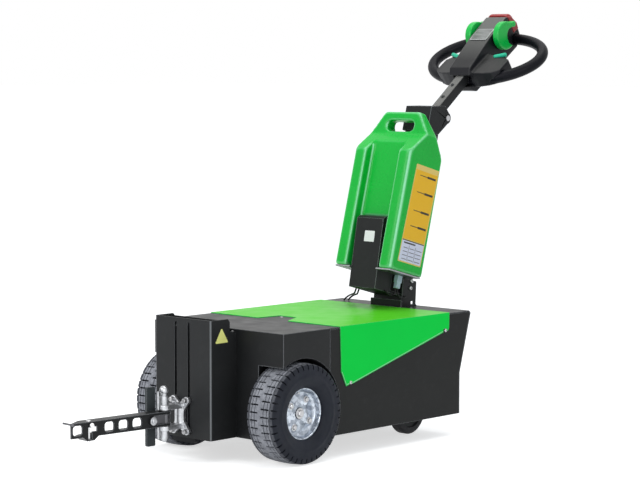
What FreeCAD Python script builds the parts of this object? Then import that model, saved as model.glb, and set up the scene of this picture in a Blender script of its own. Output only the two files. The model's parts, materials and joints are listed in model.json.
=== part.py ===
"""Electric tow tug: drive wheels at the hitch end, swivel castors under the tail, a leaning mast with a
saddle battery pack and a tilting tiller.  Millimetres, +Z up, the hitch points along +X."""
import FreeCAD, Part
import math
import os

from FreeCAD import Vector as V

# ---------------------------------------------------------------- driving dimensions
# While it is built, X is 0 at the drive axle and Z is 0 on the floor.
TYRE_R = 130.0
TYRE_W = 98.0
RIM_R = 67.0
AXLE_R = 12.5
HUB_HALF = 30.0
RUN_FIT = 0.05
SEAT = 0.2
BEARING_GAP = 0.5
HUB_FACE = 19.0

SHEET = 3.0
BODY_HALF = 236.0
WHEEL_INSET = 31.0
WHEEL_Y = BODY_HALF - WHEEL_INSET
BODY_FRONT = 71.0
BODY_BOTTOM = 59.0
DECK_Z = 339.5
SEAM_X = -103.0
COVER_T = 2.0
COVER_FRONT = -139.0
COVER_REAR = -579.0
TAIL_X = -628.0
TAIL_KNEE_Z = 172.0
TAIL_TOP_X = -674.0
TAIL_TOP_Z = DECK_Z - 6.5
ARCH_GAP = 11.0
ARCH_R = TYRE_R + ARCH_GAP
ARCH_Y = WHEEL_Y - TYRE_W / 2 - 8
HUB_GAP = 12.0

CASTOR_X = -505.0
CASTOR_Y = 118.0
CASTOR_R = 62.5
CASTOR_W = 32.0
CASTOR_TRAIL = 38.0
CASTOR_HEADROOM = 32.0
CASTOR_PLATE_Z = 2 * CASTOR_R + CASTOR_HEADROOM
KING_PIN_R = 8.0
CASTOR_AXLE_R = 6.0
CROWN_T = 9.5
APRON_X = -385.0
BEAM_T = 4.0

TOWER_X = 162.0
TOWER_Y = -35.0
TOWER_HALF = 102.5
TOWER_TOP = 367.0
TOWER_T = 4.0
SLOT_W = 8.0
SLOT_PITCH = 48.0
SLOT_LOW = 70.0
SLOT_HIGH = 357.0

HITCH_Y = -37.0
BOLT_LOW_Z = 77.0
BOLT_HIGH_Z = 157.0
BOLT_R = 3.5
CLAMP_GAP = 0.5
BARREL_R = 15.0
JAW_REACH = 226.0
PIN_R = 8.0
LUG_R = 17.0
DRAWBAR_YAW = 5.0
DRAWBAR_LEN = 303.0
DRAWBAR_HALF = 17.0
DRAWBAR_Z0 = 97.0
DRAWBAR_Z1 = 135.0
DRAWBAR_T = 4.0
EYE_T = 8.0
HOLE_FIRST = 99.0
HOLE_PITCH = 43.5
END_PIN_R = 4.5
END_PIN_BACK = 59.0
END_PIN_N = 8.0
BRACKET_T = 10.0
BLOCK_END = 62.0
KNOB_R = 6.5
STEM_R = 2.8

MAST_X = -600.0
MAST_Z = DECK_Z + COVER_T
FOOT_T = 4.0
MAST_LEAN = 15.0
COLUMN_HALF = 47.0
COLUMN_FRONT = 6.0
HEAD_FRONT = 20.0
COLUMN_REAR = -30.0
COLUMN_T = 4.0
DOCK_HALF = COLUMN_HALF + 1
DOCK_TOP = 228.0
DOCK_FOOT = 27.0
HEAD_FOOT = 498.0
CHEEK_T = 4.0

PACK_HALF = 104.5
PACK_FRONT = 141.0
PACK_REAR = -1.0
PACK_BOTTOM = 85.0
PACK_SHOULDER = 416.0
PACK_NECK = 474.0
PACK_TOP = 537.0
GRIP_FRONT = 85.0
GRIP_REAR = 57.0
GRIP_HALF = 62.5
CHANNEL_HALF = 60.0
CHANNEL_FLOOR = 113.0
PLUG_FOOT = 44.0
CABLE_R = 2.4
BEND_SHARE = 0.45

PIVOT_A = -54.9
PIVOT_C = 552.5
TUBE_SLOPE = 37.8
TUBE_SIDE = 30.0
TUBE_LIFT = 9.0
PIVOT_R = 5.0

HEAD_REACH = 289.2
HEAD_DROP = 14.9
HEAD_SLOPE = 34.4
HEAD_HALF = 38.0
HEAD_MOUTH = 109.0
LOOP_HALF_W = 190.0
LOOP_HALF_L = 107.0
LOOP_R = 16.0
NECK_HALF = 28.0
SHOULDER_Y = 110.0
SHOULDER_TOP = 39.0
SHOULDER_LOW = 27.0
SHOULDER_REAR = 27.0
WING_X = -50.0
WING_Z = 50.0
WING_R = 41.0
WING_T = 21.0

pieces = {}


# ---------------------------------------------------------------- building blocks
def box(x0, x1, y0, y1, z0, z1):
    return Part.makeBox(x1 - x0, y1 - y0, z1 - z0, V(x0, y0, z0))


def between(x0, x1, y0, y1, z0, z1):
    """A box whose two Y planes may come in either order."""
    return box(x0, x1, min(y0, y1), max(y0, y1), z0, z1)


def rod(start, end, radius):
    line = end - start
    return Part.makeCylinder(radius, line.Length, start, line)


def extruded(points, direction):
    wire = Part.makePolygon(points + [points[0]])
    return Part.Face(wire).extrude(direction)


def side_plate(outline, y0, y1):
    """A plate from an (x, z) outline, between two Y planes."""
    return extruded([V(x, y0, z) for x, z in outline], V(0, y1 - y0, 0))


def plan_plate(outline, z0, z1):
    """A plate from an (x, y) outline, between two heights."""
    return extruded([V(x, y, z0) for x, y in outline], V(0, 0, z1 - z0))


def front_plate(outline, x0, x1):
    """A plate from a (y, z) outline, between two X planes."""
    return extruded([V(x0, y, z) for y, z in outline], V(x1 - x0, 0, 0))


def rounded_box(x0, x1, y0, y1, z0, z1, radius, axis):
    """A box whose edges along one axis are rounded."""
    block = box(x0, x1, y0, y1, z0, z1)
    return fillet_along(block, axis, radius)


def fillet_along(shape, axis, radius, keep=lambda centre: True):
    edges = []
    for edge in shape.Edges:
        if edge.Curve.TypeId != "Part::GeomLine":
            continue
        along = abs(edge.tangentAt(edge.FirstParameter).dot(axis))
        if along > 0.999 and keep(edge.CenterOfMass):
            edges.append(edge)
    return shape.makeFillet(radius, edges)


def revolved(profile, centre, axis):
    """A ring from an (along axis, radius) profile about an axis along Y."""
    points = [V(0, along, radius) for along, radius in profile]
    face = Part.Face(Part.makePolygon(points + [points[0]]))
    ring = face.revolve(V(0, 0, 0), axis, 360)
    ring.translate(centre)
    return ring


bend_radii = []


def routed(points, radius):
    """A round lead along straight runs joined by tangent arcs."""
    edges = []
    start = points[0]
    for before, corner, after in zip(points, points[1:], points[2:]):
        back = (before - corner).normalize()
        ahead = (after - corner).normalize()
        reach = BEND_SHARE * min((before - corner).Length, (after - corner).Length)
        bend = reach * math.tan(back.getAngle(ahead) / 2)
        bend_radii.append(round(bend, 1))
        middle = corner + (back + ahead).normalize() * (math.hypot(bend, reach) - bend)
        edges.append(Part.makeLine(start, corner + back * reach))
        edges.append(Part.Arc(corner + back * reach, middle, corner + ahead * reach).toShape())
        start = corner + ahead * reach
    edges.append(Part.makeLine(start, points[-1]))
    circle = Part.Wire([Part.makeCircle(radius, points[0], points[1] - points[0])])
    return Part.Wire(edges).makePipeShell([circle], True, True)


def add(name, shape):
    pieces[name] = shape.removeSplitter()


def mirrored(shape):
    return shape.mirror(V(0, 0, 0), V(0, 1, 0))


def both_sides(name, shape):
    """The shape on the +Y side is the right one, its mirror image the left one."""
    add("right_" + name, shape)
    add("left_" + name, mirrored(shape))


X_AXIS = V(1, 0, 0)
Y_AXIS = V(0, 1, 0)
Z_AXIS = V(0, 0, 1)


# ---------------------------------------------------------------- body
def offset_line(points, distance):
    """The same (x, z) polyline moved sideways, with mitred corners."""
    normals = []
    for (x0, z0), (x1, z1) in zip(points, points[1:]):
        length = math.hypot(x1 - x0, z1 - z0)
        normals.append(((z1 - z0) / length, -(x1 - x0) / length))
    moved = []
    for index, (x, z) in enumerate(points):
        before = normals[max(index - 1, 0)]
        after = normals[min(index, len(normals) - 1)]
        share = 1 + before[0] * after[0] + before[1] * after[1]
        moved.append((x + distance * (before[0] + after[0]) / share,
                      z + distance * (before[1] + after[1]) / share))
    return moved


TAIL_LINE = [(TAIL_X, BODY_BOTTOM), (TAIL_X, TAIL_KNEE_Z), (TAIL_TOP_X, TAIL_TOP_Z),
             (TAIL_TOP_X + 6, DECK_Z)]
SHELF_END = COVER_REAR + 40


def rear_panel():
    outer = TAIL_LINE + [(SHELF_END, DECK_Z)]
    inner = offset_line(outer, SHEET)
    return side_plate(outer + inner[::-1], -BODY_HALF, BODY_HALF)


def side_panel():
    inner = offset_line(TAIL_LINE, SHEET + SEAT)
    top = DECK_Z - SHEET - SEAT
    outline = [(SEAM_X, top), (SEAM_X, BODY_BOTTOM), (inner[0][0], BODY_BOTTOM)] + inner[1:3]
    outline.append((inner[3][0], top))
    panel = side_plate(outline, BODY_HALF - SHEET, BODY_HALF)
    arch = rod(V(0, 0, TYRE_R), V(0, BODY_HALF + 1, TYRE_R), ARCH_R)
    return panel.cut(arch)


def front_housing():
    shell = box(SEAM_X + 1, BODY_FRONT, -BODY_HALF, BODY_HALF, BODY_BOTTOM, DECK_Z)
    hollow = box(SEAM_X, BODY_FRONT - SHEET, SHEET - BODY_HALF, BODY_HALF - SHEET, BODY_BOTTOM - 1,
                 DECK_Z - SHEET)
    shelf = box(COVER_FRONT - 90, SEAM_X + 2, -BODY_HALF, BODY_HALF, DECK_Z - SHEET, DECK_Z)
    housing = shell.cut(hollow).fuse(shelf)
    for side in (-1, 1):
        arch = rod(V(0, side * ARCH_Y, TYRE_R), V(0, side * (BODY_HALF + 1), TYRE_R), ARCH_R)
        below = between(SEAM_X, BODY_FRONT + 1, side * ARCH_Y, side * (BODY_HALF + 1), 0, TYRE_R)
        housing = housing.cut(arch).cut(below)
    return housing


def wheel_box():
    """The arch over one wheel: a rolled roof and the wall on its inner side."""
    inner_face = ARCH_Y
    roof = rod(V(0, inner_face, TYRE_R), V(0, BODY_HALF - SHEET - SEAT, TYRE_R), ARCH_R + SHEET)
    roof = roof.cut(rod(V(0, inner_face - 1, TYRE_R), V(0, BODY_HALF, TYRE_R), ARCH_R))
    wall = rod(V(0, inner_face - SHEET, TYRE_R), V(0, inner_face, TYRE_R), ARCH_R + SHEET)
    wall = wall.cut(rod(V(0, 0, TYRE_R), V(0, inner_face + 1, TYRE_R), AXLE_R + 6))
    room = box(-ARCH_R - 10, BODY_FRONT - SHEET - SEAT, 0, 300, BODY_BOTTOM, DECK_Z - SHEET - SEAT)
    return roof.fuse(wall).common(room)


def base_plate():
    plate = box(APRON_X + 5, BODY_FRONT - SHEET - SEAT, SHEET - BODY_HALF + SEAT, BODY_HALF - SHEET - SEAT,
                BODY_BOTTOM, BODY_BOTTOM + SHEET)
    behind_arch = -math.sqrt((ARCH_R + SHEET) ** 2 - (TYRE_R - BODY_BOTTOM - SHEET) ** 2)
    for side in (-1, 1):
        wall = side * (ARCH_Y - SHEET - SEAT)
        plate = plate.cut(between(behind_arch - SEAT, BODY_FRONT, wall, side * BODY_HALF, 0,
                                  BODY_BOTTOM + 40))
    return plate


def castor_beam():
    """The folded cross plate over the castors, with an apron down to the floor pan."""
    rear = TAIL_X + SHEET + SEAT
    half = BODY_HALF - SHEET - SEAT
    plate = box(rear, APRON_X, -half, half, CASTOR_PLATE_Z, CASTOR_PLATE_Z + BEAM_T)
    apron = box(APRON_X - SHEET, APRON_X, -half, half, BODY_BOTTOM, CASTOR_PLATE_Z + 1)
    return plate.fuse(apron)


def deck_cover():
    top = DECK_Z + COVER_T
    outer = BODY_HALF + COVER_T
    sheet = box(COVER_REAR, COVER_FRONT, -outer, outer, DECK_Z, top)
    notch_end = COVER_FRONT - 74
    notch = plan_plate([(COVER_FRONT + 1, -59), (COVER_FRONT + 1, 52), (notch_end, 13), (notch_end, -49)],
                       DECK_Z - 1, top + 1)
    front_corner = [(0, 2), (-4, -116.5), (-23, -155.5), (-35, -152.5), (-37, -142.5), (-47, -151.5)]
    rear_corner = [(25, -50.5), (25, -41.5), (14, -40.5), (6, -47.5), (1, -40.5), (0, 2)]
    flap = [(COVER_FRONT + x, DECK_Z + z) for x, z in front_corner]
    flap += [(COVER_REAR + x, DECK_Z + z) for x, z in rear_corner]
    cover = sheet.cut(notch)
    for side in (-1, 1):
        cover = cover.fuse(side_plate(flap, side * BODY_HALF, side * outer))
    return cover


def drive_unit():
    """The motor, gearbox and controller as one block that carries both stub axles."""
    half = ARCH_Y - SHEET - HUB_GAP
    return rounded_box(-78, 52, -half, half, BODY_BOTTOM + SHEET, TYRE_R + 66, 12, Y_AXIS)


def stub_axle():
    inner = ARCH_Y - SHEET - HUB_GAP
    shaft = rod(V(0, inner, TYRE_R), V(0, WHEEL_Y + HUB_FACE, TYRE_R), AXLE_R)
    collar = rod(V(0, inner, TYRE_R), V(0, WHEEL_Y - HUB_HALF - 8, TYRE_R), AXLE_R + 5)
    washer_y = WHEEL_Y + HUB_FACE + BEARING_GAP
    washer = rod(V(0, washer_y - 1, TYRE_R), V(0, washer_y + 2, TYRE_R), AXLE_R)
    washer = washer.fuse(rod(V(0, washer_y, TYRE_R), V(0, washer_y + 2, TYRE_R), AXLE_R + 2))
    nut = rod(V(0, washer_y, TYRE_R), V(0, washer_y + 8, TYRE_R), 8)
    return shaft.fuse(collar).fuse(washer).fuse(nut)


# ---------------------------------------------------------------- drive wheels
def tyre():
    half = TYRE_W / 2
    bead = half - 12
    crown = half - 8
    shoulder = TYRE_R - 8
    left_bead = V(0, -bead, RIM_R)
    left_side = V(0, 2 - half, RIM_R + 12)
    left_shoulder = V(0, 2 - half, shoulder)
    left_crown = V(0, -crown, TYRE_R - 2.5)
    side = Part.Arc(left_side, V(0, -half, (RIM_R + 12 + shoulder) / 2), left_shoulder).toShape()
    corner = Part.Arc(left_shoulder, V(0, -half + 3.3, TYRE_R - 3.9), left_crown).toShape()
    edges = [Part.makeLine(left_bead, left_side), side, corner]
    edges += [edge.mirror(V(0, 0, 0), Y_AXIS) for edge in edges]
    edges.append(Part.Arc(left_crown, V(0, 0, TYRE_R), V(0, crown, TYRE_R - 2.5)).toShape())
    edges.append(Part.makeLine(left_bead, V(0, bead, RIM_R)))
    face = Part.Face(Part.Wire(Part.__sortEdges__(edges)))
    ring = face.revolve(V(0, 0, 0), Y_AXIS, 360)
    ring.translate(V(0, WHEEL_Y, TYRE_R))
    return ring


def rim():
    half = TYRE_W / 2
    edge = half - 16
    bore = AXLE_R + RUN_FIT
    hub = AXLE_R + 9.5
    profile = [(-edge, RIM_R - SEAT), (edge, RIM_R - SEAT), (edge, RIM_R - 7), (HUB_FACE - 5, RIM_R - 11),
               (HUB_FACE - 3, RIM_R - 23), (HUB_FACE, hub + 8), (HUB_FACE, bore), (-HUB_HALF, bore),
               (-HUB_HALF, hub), (HUB_FACE - 10, hub + 4), (HUB_FACE - 10, RIM_R - 14), (-edge, RIM_R - 7)]
    return revolved(profile, V(0, WHEEL_Y, TYRE_R), Y_AXIS)


# ---------------------------------------------------------------- castors
RACE_Z = CASTOR_PLATE_Z - 12


def castor_mount():
    plate = box(-50, 50, -42, 42, RACE_Z + 7, CASTOR_PLATE_Z)
    race = rod(V(0, 0, RACE_Z), V(0, 0, RACE_Z + 7), 28)
    pin_foot = RACE_Z - BEARING_GAP - CROWN_T - 4.5
    king_pin = rod(V(0, 0, pin_foot), V(0, 0, RACE_Z + 7), KING_PIN_R)
    nut = rod(V(0, 0, pin_foot - 3), V(0, 0, pin_foot + 4), KING_PIN_R + 4)
    mount = plate.fuse(race).fuse(king_pin).fuse(nut)
    mount.translate(V(CASTOR_X, CASTOR_Y, 0))
    return mount


def castor_fork():
    """The forked leg under the swivel race, trailing behind it, with the roller's bolt."""
    crown_top = RACE_Z - BEARING_GAP
    crown_low = crown_top - CROWN_T
    gap = CASTOR_W / 2 + 5
    axle_x = -CASTOR_TRAIL
    fork = rod(V(0, 0, crown_low), V(0, 0, crown_top), 30)
    fork = fork.fuse(box(axle_x - 4, 20, -gap - 4, gap + 4, crown_low, crown_low + 5))
    leg_line = [(20, crown_low + 5), (axle_x - 4, crown_low + 5), (axle_x - 15, CASTOR_R + 4),
                (axle_x - 12, CASTOR_R - 12), (axle_x + 12, CASTOR_R - 12), (14, crown_low - 20)]
    for side in (-1, 1):
        fork = fork.fuse(side_plate(leg_line, side * gap, side * (gap + 4)))
    fork = fork.cut(rod(V(0, 0, crown_low - 1), V(0, 0, crown_top + 1), KING_PIN_R + RUN_FIT))
    bolt = rod(V(axle_x, -gap - 12, CASTOR_R), V(axle_x, gap + 12, CASTOR_R), CASTOR_AXLE_R)
    heads = rod(V(axle_x, gap + 4, CASTOR_R), V(axle_x, gap + 11, CASTOR_R), CASTOR_AXLE_R + 3.5)
    fork = fork.fuse(bolt).fuse(heads).fuse(mirrored(heads))
    fork.translate(V(CASTOR_X, CASTOR_Y, 0))
    return fork


def castor_wheel():
    half = CASTOR_W / 2
    bore = CASTOR_AXLE_R + RUN_FIT
    hub = CASTOR_AXLE_R + 10
    side = [(half, CASTOR_R - 6), (half, CASTOR_R - 18), (half - 6, CASTOR_R - 20), (half - 6, hub + 2),
            (half + 4, hub), (half + 4, bore)]
    profile = [(-half + 6, CASTOR_R), (half - 6, CASTOR_R)] + side
    profile += [(-along, radius) for along, radius in reversed(side)]
    return revolved(profile, V(CASTOR_X - CASTOR_TRAIL, CASTOR_Y, CASTOR_R), Y_AXIS)


# ---------------------------------------------------------------- hitch tower and bracket
SLOT_YS = [HITCH_Y - SLOT_PITCH / 2, HITCH_Y + SLOT_PITCH / 2]


def hitch_tower():
    low = TOWER_Y - TOWER_HALF
    high = TOWER_Y + TOWER_HALF
    outside = box(BODY_FRONT, TOWER_X, low, high, BODY_BOTTOM, TOWER_TOP)
    outside = fillet_along(outside, Z_AXIS, 6, lambda centre: centre.x > TOWER_X - 1)
    inside = box(BODY_FRONT - 1, TOWER_X - TOWER_T, low + TOWER_T, high - TOWER_T, BODY_BOTTOM - 1,
                 TOWER_TOP + 1)
    inside = fillet_along(inside, Z_AXIS, 2, lambda centre: centre.x > TOWER_X - TOWER_T - 1)
    corner_x = BODY_FRONT + 22
    relief = side_plate([(BODY_FRONT - 1, DECK_Z - 6), (corner_x, DECK_Z - 6), (corner_x, TOWER_TOP - 8),
                         (corner_x + 8, TOWER_TOP + 1), (BODY_FRONT - 1, TOWER_TOP + 1)], low - 1, high + 1)
    tower = outside.cut(inside).cut(relief)
    floor = box(BODY_FRONT, TOWER_X - 40, low + 1, high - 1, BODY_BOTTOM, BODY_BOTTOM + TOWER_T)
    lip = box(corner_x, corner_x + TOWER_T, low + 1, high - 1, DECK_Z - 2, TOWER_TOP - 6)
    tower = tower.fuse(floor).fuse(lip)
    for y in SLOT_YS:
        slot = box(TOWER_X - TOWER_T - 1, TOWER_X + 1, y - SLOT_W / 2, y + SLOT_W / 2, SLOT_LOW, SLOT_HIGH)
        tower = tower.cut(slot)
    return tower


def hitch_carriage():
    """The plate inside the tower that the four clamp bolts pull against the slotted face."""
    front = TOWER_X - TOWER_T - CLAMP_GAP
    plate = box(front - 10, front, HITCH_Y - 42, HITCH_Y + 42, BOLT_LOW_Z - 31, BOLT_HIGH_Z + 15)
    return fillet_along(plate, X_AXIS, 8)


def lobe(y, z, x0, x1, radius):
    return rod(V(x0, y, z), V(x1, y, z), radius)


BRACKET_BACK = TOWER_X + CLAMP_GAP
BARREL_X = BRACKET_BACK + BRACKET_T / 2 + 1
LUG_TOP = DRAWBAR_Z1 + 15
LUG_FOOT = DRAWBAR_Z0 - 13


def bolt_places():
    places = []
    for y in SLOT_YS:
        for z in (BOLT_LOW_Z, BOLT_HIGH_Z):
            places.append((y, z))
    return places


def hitch_bracket():
    """A four-lobed casting with an upright barrel and two lugs that reach forward to the coupling pin."""
    face = BRACKET_BACK + BRACKET_T
    middle_z = (BOLT_LOW_Z + BOLT_HIGH_Z) / 2
    body = box(BRACKET_BACK, face, HITCH_Y - 15, HITCH_Y + 15, BOLT_LOW_Z + 14, BOLT_HIGH_Z - 14)
    for y, z in bolt_places():
        side = 1 if y > HITCH_Y else -1
        level = 1 if z > middle_z else -1
        arm = front_plate([(y - side * 4, z + level * 8), (y + side * 8, z - level * 4),
                           (HITCH_Y + side * 13, z - level * 30), (HITCH_Y - side * 10, z - level * 16)],
                          BRACKET_BACK, face)
        body = body.fuse(arm).fuse(lobe(y, z, BRACKET_BACK, face, BOLT_R + 6))
    low = BOLT_LOW_Z + 8
    high = BOLT_HIGH_Z - 8
    body = body.fuse(rod(V(BARREL_X, HITCH_Y, low), V(BARREL_X, HITCH_Y, high), BARREL_R))
    for z0, z1 in ((low, low + 6), (high - 7, high)):
        body = body.fuse(rod(V(BARREL_X, HITCH_Y, z0), V(BARREL_X, HITCH_Y, z1), BARREL_R + 2))
    body = body.cut(box(0, BRACKET_BACK, HITCH_Y - 100, HITCH_Y + 100, 0, BOLT_HIGH_Z + 100))
    body = body.fuse(lug(DRAWBAR_Z1 + 2, LUG_TOP)).fuse(lug(LUG_FOOT, DRAWBAR_Z0 - BEARING_GAP))
    body = body.cut(rod(V(JAW_REACH, HITCH_Y, 0), V(JAW_REACH, HITCH_Y, LUG_TOP + 50), PIN_R + RUN_FIT))
    for y, z in bolt_places():
        body = body.cut(lobe(y, z, BRACKET_BACK - 1, face + 1, BOLT_R + 0.1))
    return body


def lug(z0, z1):
    eye = rod(V(JAW_REACH, HITCH_Y, z0), V(JAW_REACH, HITCH_Y, z1), LUG_R)
    arm = plan_plate([(BARREL_X, HITCH_Y - 13), (JAW_REACH, HITCH_Y - LUG_R), (JAW_REACH, HITCH_Y + LUG_R),
                      (BARREL_X, HITCH_Y + 13)], z0, z1)
    return eye.fuse(arm)


def hitch_bolts():
    face = BRACKET_BACK + BRACKET_T
    inner = TOWER_X - TOWER_T - CLAMP_GAP
    bolts = []
    for y, z in bolt_places():
        bolts.append(lobe(y, z, inner, face, BOLT_R).fuse(lobe(y, z, face, face + 8, BOLT_R + 3)))
    return Part.makeCompound(bolts)


def coupling_pin():
    """The ball-headed pin through both lugs and the drawbar eye."""
    at = V(JAW_REACH, HITCH_Y, 0)
    collar_r = PIN_R + 3
    shaft = rod(at + V(0, 0, LUG_FOOT - 26), at + V(0, 0, LUG_TOP + 34), PIN_R)
    sleeve = rod(at + V(0, 0, LUG_TOP + SEAT), at + V(0, 0, LUG_TOP + 22), collar_r)
    ball = Part.makeSphere(PIN_R + 3.5, at + V(0, 0, LUG_TOP + 38))
    foot = rod(at + V(0, 0, LUG_FOOT - 22), at + V(0, 0, LUG_FOOT - SEAT), collar_r)
    tip = Part.makeCone(PIN_R - 5, PIN_R, 4, at + V(0, 0, LUG_FOOT - 30), Z_AXIS)
    return shaft.fuse(sleeve).fuse(ball).fuse(foot).fuse(tip)


def lock_rod():
    """The slim guide rods at the nose of each lug."""
    radius = 3.0
    at = V(JAW_REACH + LUG_R + radius + CLAMP_GAP, HITCH_Y, 0)
    upper = rod(at + V(0, 0, LUG_TOP - 11), at + V(0, 0, LUG_TOP + 36), radius)
    lower = rod(at + V(0, 0, LUG_FOOT - 20), at + V(0, 0, LUG_FOOT + 10), radius)
    return Part.makeCompound([upper, lower])


# ---------------------------------------------------------------- drawbar
def bar_local(shape):
    """From the drawbar's own frame, along its length from the pin, into the machine."""
    shape.rotate(V(0, 0, 0), Z_AXIS, -DRAWBAR_YAW)
    shape.translate(V(JAW_REACH, HITCH_Y, 0))
    return shape


WEB_START = BLOCK_END - 16
EYE_HALF = DRAWBAR_HALF
END_PIN_S = DRAWBAR_LEN - END_PIN_BACK
BAR_MIDDLE = (DRAWBAR_Z0 + DRAWBAR_Z1) / 2
KNOB_Z = DRAWBAR_Z1 - 9


def drawbar():
    """A channel bar, open on its -Y side, with a doubled eye at the root and a pinned mouth at the tip."""
    web_inside = DRAWBAR_HALF - DRAWBAR_T
    bar = box(WEB_START, DRAWBAR_LEN, web_inside, DRAWBAR_HALF, DRAWBAR_Z0, DRAWBAR_Z1)
    for z0, z1, level in ((DRAWBAR_Z0, DRAWBAR_Z0 + DRAWBAR_T, 0), (DRAWBAR_Z1 - DRAWBAR_T, DRAWBAR_Z1, 1)):
        bar = bar.fuse(box(0, DRAWBAR_LEN, -DRAWBAR_HALF, DRAWBAR_HALF, z0, z1))
        eye_z0 = DRAWBAR_Z1 - EYE_T if level else DRAWBAR_Z0
        bar = bar.fuse(rod(V(0, 0, eye_z0), V(0, 0, eye_z0 + EYE_T), EYE_HALF))
        bar = bar.fuse(box(0, WEB_START + 10, -DRAWBAR_HALF, DRAWBAR_HALF, eye_z0, eye_z0 + EYE_T))
    drop = side_plate([(END_PIN_S - 28, DRAWBAR_Z0 + 2), (END_PIN_S - 12, DRAWBAR_Z0 - 10),
                       (END_PIN_S + 10, DRAWBAR_Z0 - 10), (END_PIN_S + 26, DRAWBAR_Z0 + 2)],
                      -DRAWBAR_HALF, DRAWBAR_HALF)
    bar = bar.fuse(drop)
    bar = bar.cut(rod(V(0, 0, 0), V(0, 0, DRAWBAR_Z1 + 50), PIN_R + RUN_FIT))
    for along in (HOLE_FIRST, HOLE_FIRST + HOLE_PITCH, HOLE_FIRST + 2 * HOLE_PITCH, DRAWBAR_LEN - 20):
        hole = rounded_box(along - 14, along + 14, web_inside - 1, DRAWBAR_HALF + 1,
                           BAR_MIDDLE - 12.5, BAR_MIDDLE + 12.5, 8, Y_AXIS)
        bar = bar.cut(hole)
    jaw = box(END_PIN_S - 20, END_PIN_S + 6, web_inside - 1, DRAWBAR_HALF + 1, BAR_MIDDLE - 6,
              BAR_MIDDLE + 5)
    slot = box(END_PIN_S - 5, END_PIN_S + 6, web_inside - 1, DRAWBAR_HALF + 1, DRAWBAR_Z0 - 6,
               BAR_MIDDLE + 5)
    end_hole = rod(V(END_PIN_S, END_PIN_N, 0), V(END_PIN_S, END_PIN_N, DRAWBAR_Z1 + 50),
                   END_PIN_R + RUN_FIT)
    slant = plan_plate([(DRAWBAR_LEN, web_inside), (DRAWBAR_LEN - 45, -DRAWBAR_HALF),
                        (DRAWBAR_LEN, -DRAWBAR_HALF - 1),
                        (DRAWBAR_LEN + 1, web_inside)], 0, DRAWBAR_Z1 + 50)
    stem_hole = rod(V(END_PIN_S, 0, KNOB_Z), V(END_PIN_S, DRAWBAR_HALF + 1, KNOB_Z), STEM_R + RUN_FIT)
    return bar_local(bar.cut(jaw).cut(slot).cut(end_hole).cut(stem_hole).cut(slant))


def drawbar_block():
    """The solid eye between the bar's flanges, and the bolt head on the web."""
    low = DRAWBAR_Z0 + EYE_T
    high = DRAWBAR_Z1 - EYE_T
    block = rod(V(0, 0, low), V(0, 0, high), EYE_HALF - 2)
    block = block.fuse(box(0, BLOCK_END, -12, DRAWBAR_HALF - DRAWBAR_T, low, high))
    block = block.cut(rod(V(0, 0, 0), V(0, 0, DRAWBAR_Z1 + 50), PIN_R + RUN_FIT))
    bolt = rod(V(BLOCK_END - 10, DRAWBAR_HALF, BAR_MIDDLE), V(BLOCK_END - 10, DRAWBAR_HALF + 7,
                                                              BAR_MIDDLE), 9)
    return bar_local(Part.makeCompound([block, bolt]))


def drawbar_upright():
    """The guard plate that stands beside the eye."""
    plate = box(15, 42, -DRAWBAR_HALF - 8, -DRAWBAR_HALF, DRAWBAR_Z0 - 53, DRAWBAR_Z1 + 61)
    return bar_local(fillet_along(plate, Y_AXIS, 4))


def drawbar_end_pin():
    """The upright pin in the bar's mouth, with a side knob that stands out through the web."""
    foot = V(END_PIN_S, END_PIN_N, 0)
    shaft = rod(foot + V(0, 0, DRAWBAR_Z0 - 16), foot + V(0, 0, DRAWBAR_Z1 + 2), END_PIN_R)
    head = rod(foot + V(0, 0, DRAWBAR_Z1), foot + V(0, 0, DRAWBAR_Z1 + 2), END_PIN_R + 1.5)
    knob_at = V(END_PIN_S, DRAWBAR_HALF + KNOB_R, KNOB_Z)
    stem = rod(V(END_PIN_S, END_PIN_N, KNOB_Z), knob_at, STEM_R)
    return bar_local(shaft.fuse(head).fuse(stem).fuse(Part.makeSphere(KNOB_R, knob_at)))


# ---------------------------------------------------------------- mast
def mast_local(shape):
    """From the mast's own frame (x forward, z up along the mast) into the machine."""
    shape.rotate(V(0, 0, 0), Y_AXIS, -MAST_LEAN)
    shape.translate(V(MAST_X, 0, MAST_Z))
    return shape


def mast_point(a, y, c):
    lean = math.radians(MAST_LEAN)
    return V(MAST_X + a * math.cos(lean) - c * math.sin(lean), y,
             MAST_Z + a * math.sin(lean) + c * math.cos(lean))


PIVOT = mast_point(PIVOT_A, 0, PIVOT_C)


def mast_base():
    """Two side cheeks on a foot plate, with a low front lip; the column stands between the cheeks."""
    z0 = DECK_Z
    cheek_y = COLUMN_HALF + SEAT
    foot = box(MAST_X - 60, MAST_X + 8, -cheek_y - 5, cheek_y + 5, z0, z0 + FOOT_T)
    cheek_line = [(MAST_X + 6, z0), (MAST_X - 56, z0), (MAST_X - 62, z0 + 121), (MAST_X - 8, z0 + 121),
                  (MAST_X - 2, z0 + 81)]
    lip = box(MAST_X + 8, MAST_X + 12, -cheek_y - 9, cheek_y + 9, z0, z0 + 21)
    cheek = side_plate(cheek_line, cheek_y, cheek_y + 5)
    cheek = cheek.common(mast_local(box(-200, 200, 0, cheek_y + 50, -100, PACK_BOTTOM - 6)))
    base = foot.fuse(lip).fuse(cheek).fuse(mirrored(cheek))
    window = box(MAST_X - 47, MAST_X - 35, -cheek_y - 50, cheek_y + 50, z0 + FOOT_T, z0 + FOOT_T + 10)
    return base.cut(window)


def mast_column():
    outside = box(COLUMN_REAR, COLUMN_FRONT, -COLUMN_HALF, COLUMN_HALF, -20, HEAD_FOOT)
    inside = box(COLUMN_REAR + COLUMN_T, COLUMN_FRONT - COLUMN_T, COLUMN_T - COLUMN_HALF,
                 COLUMN_HALF - COLUMN_T,
                 -30, HEAD_FOOT + 1)
    column = mast_local(outside.cut(inside))
    above_foot = box(-2000, 0, -200, 200, DECK_Z + FOOT_T, 2000)
    return column.common(above_foot)


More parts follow.
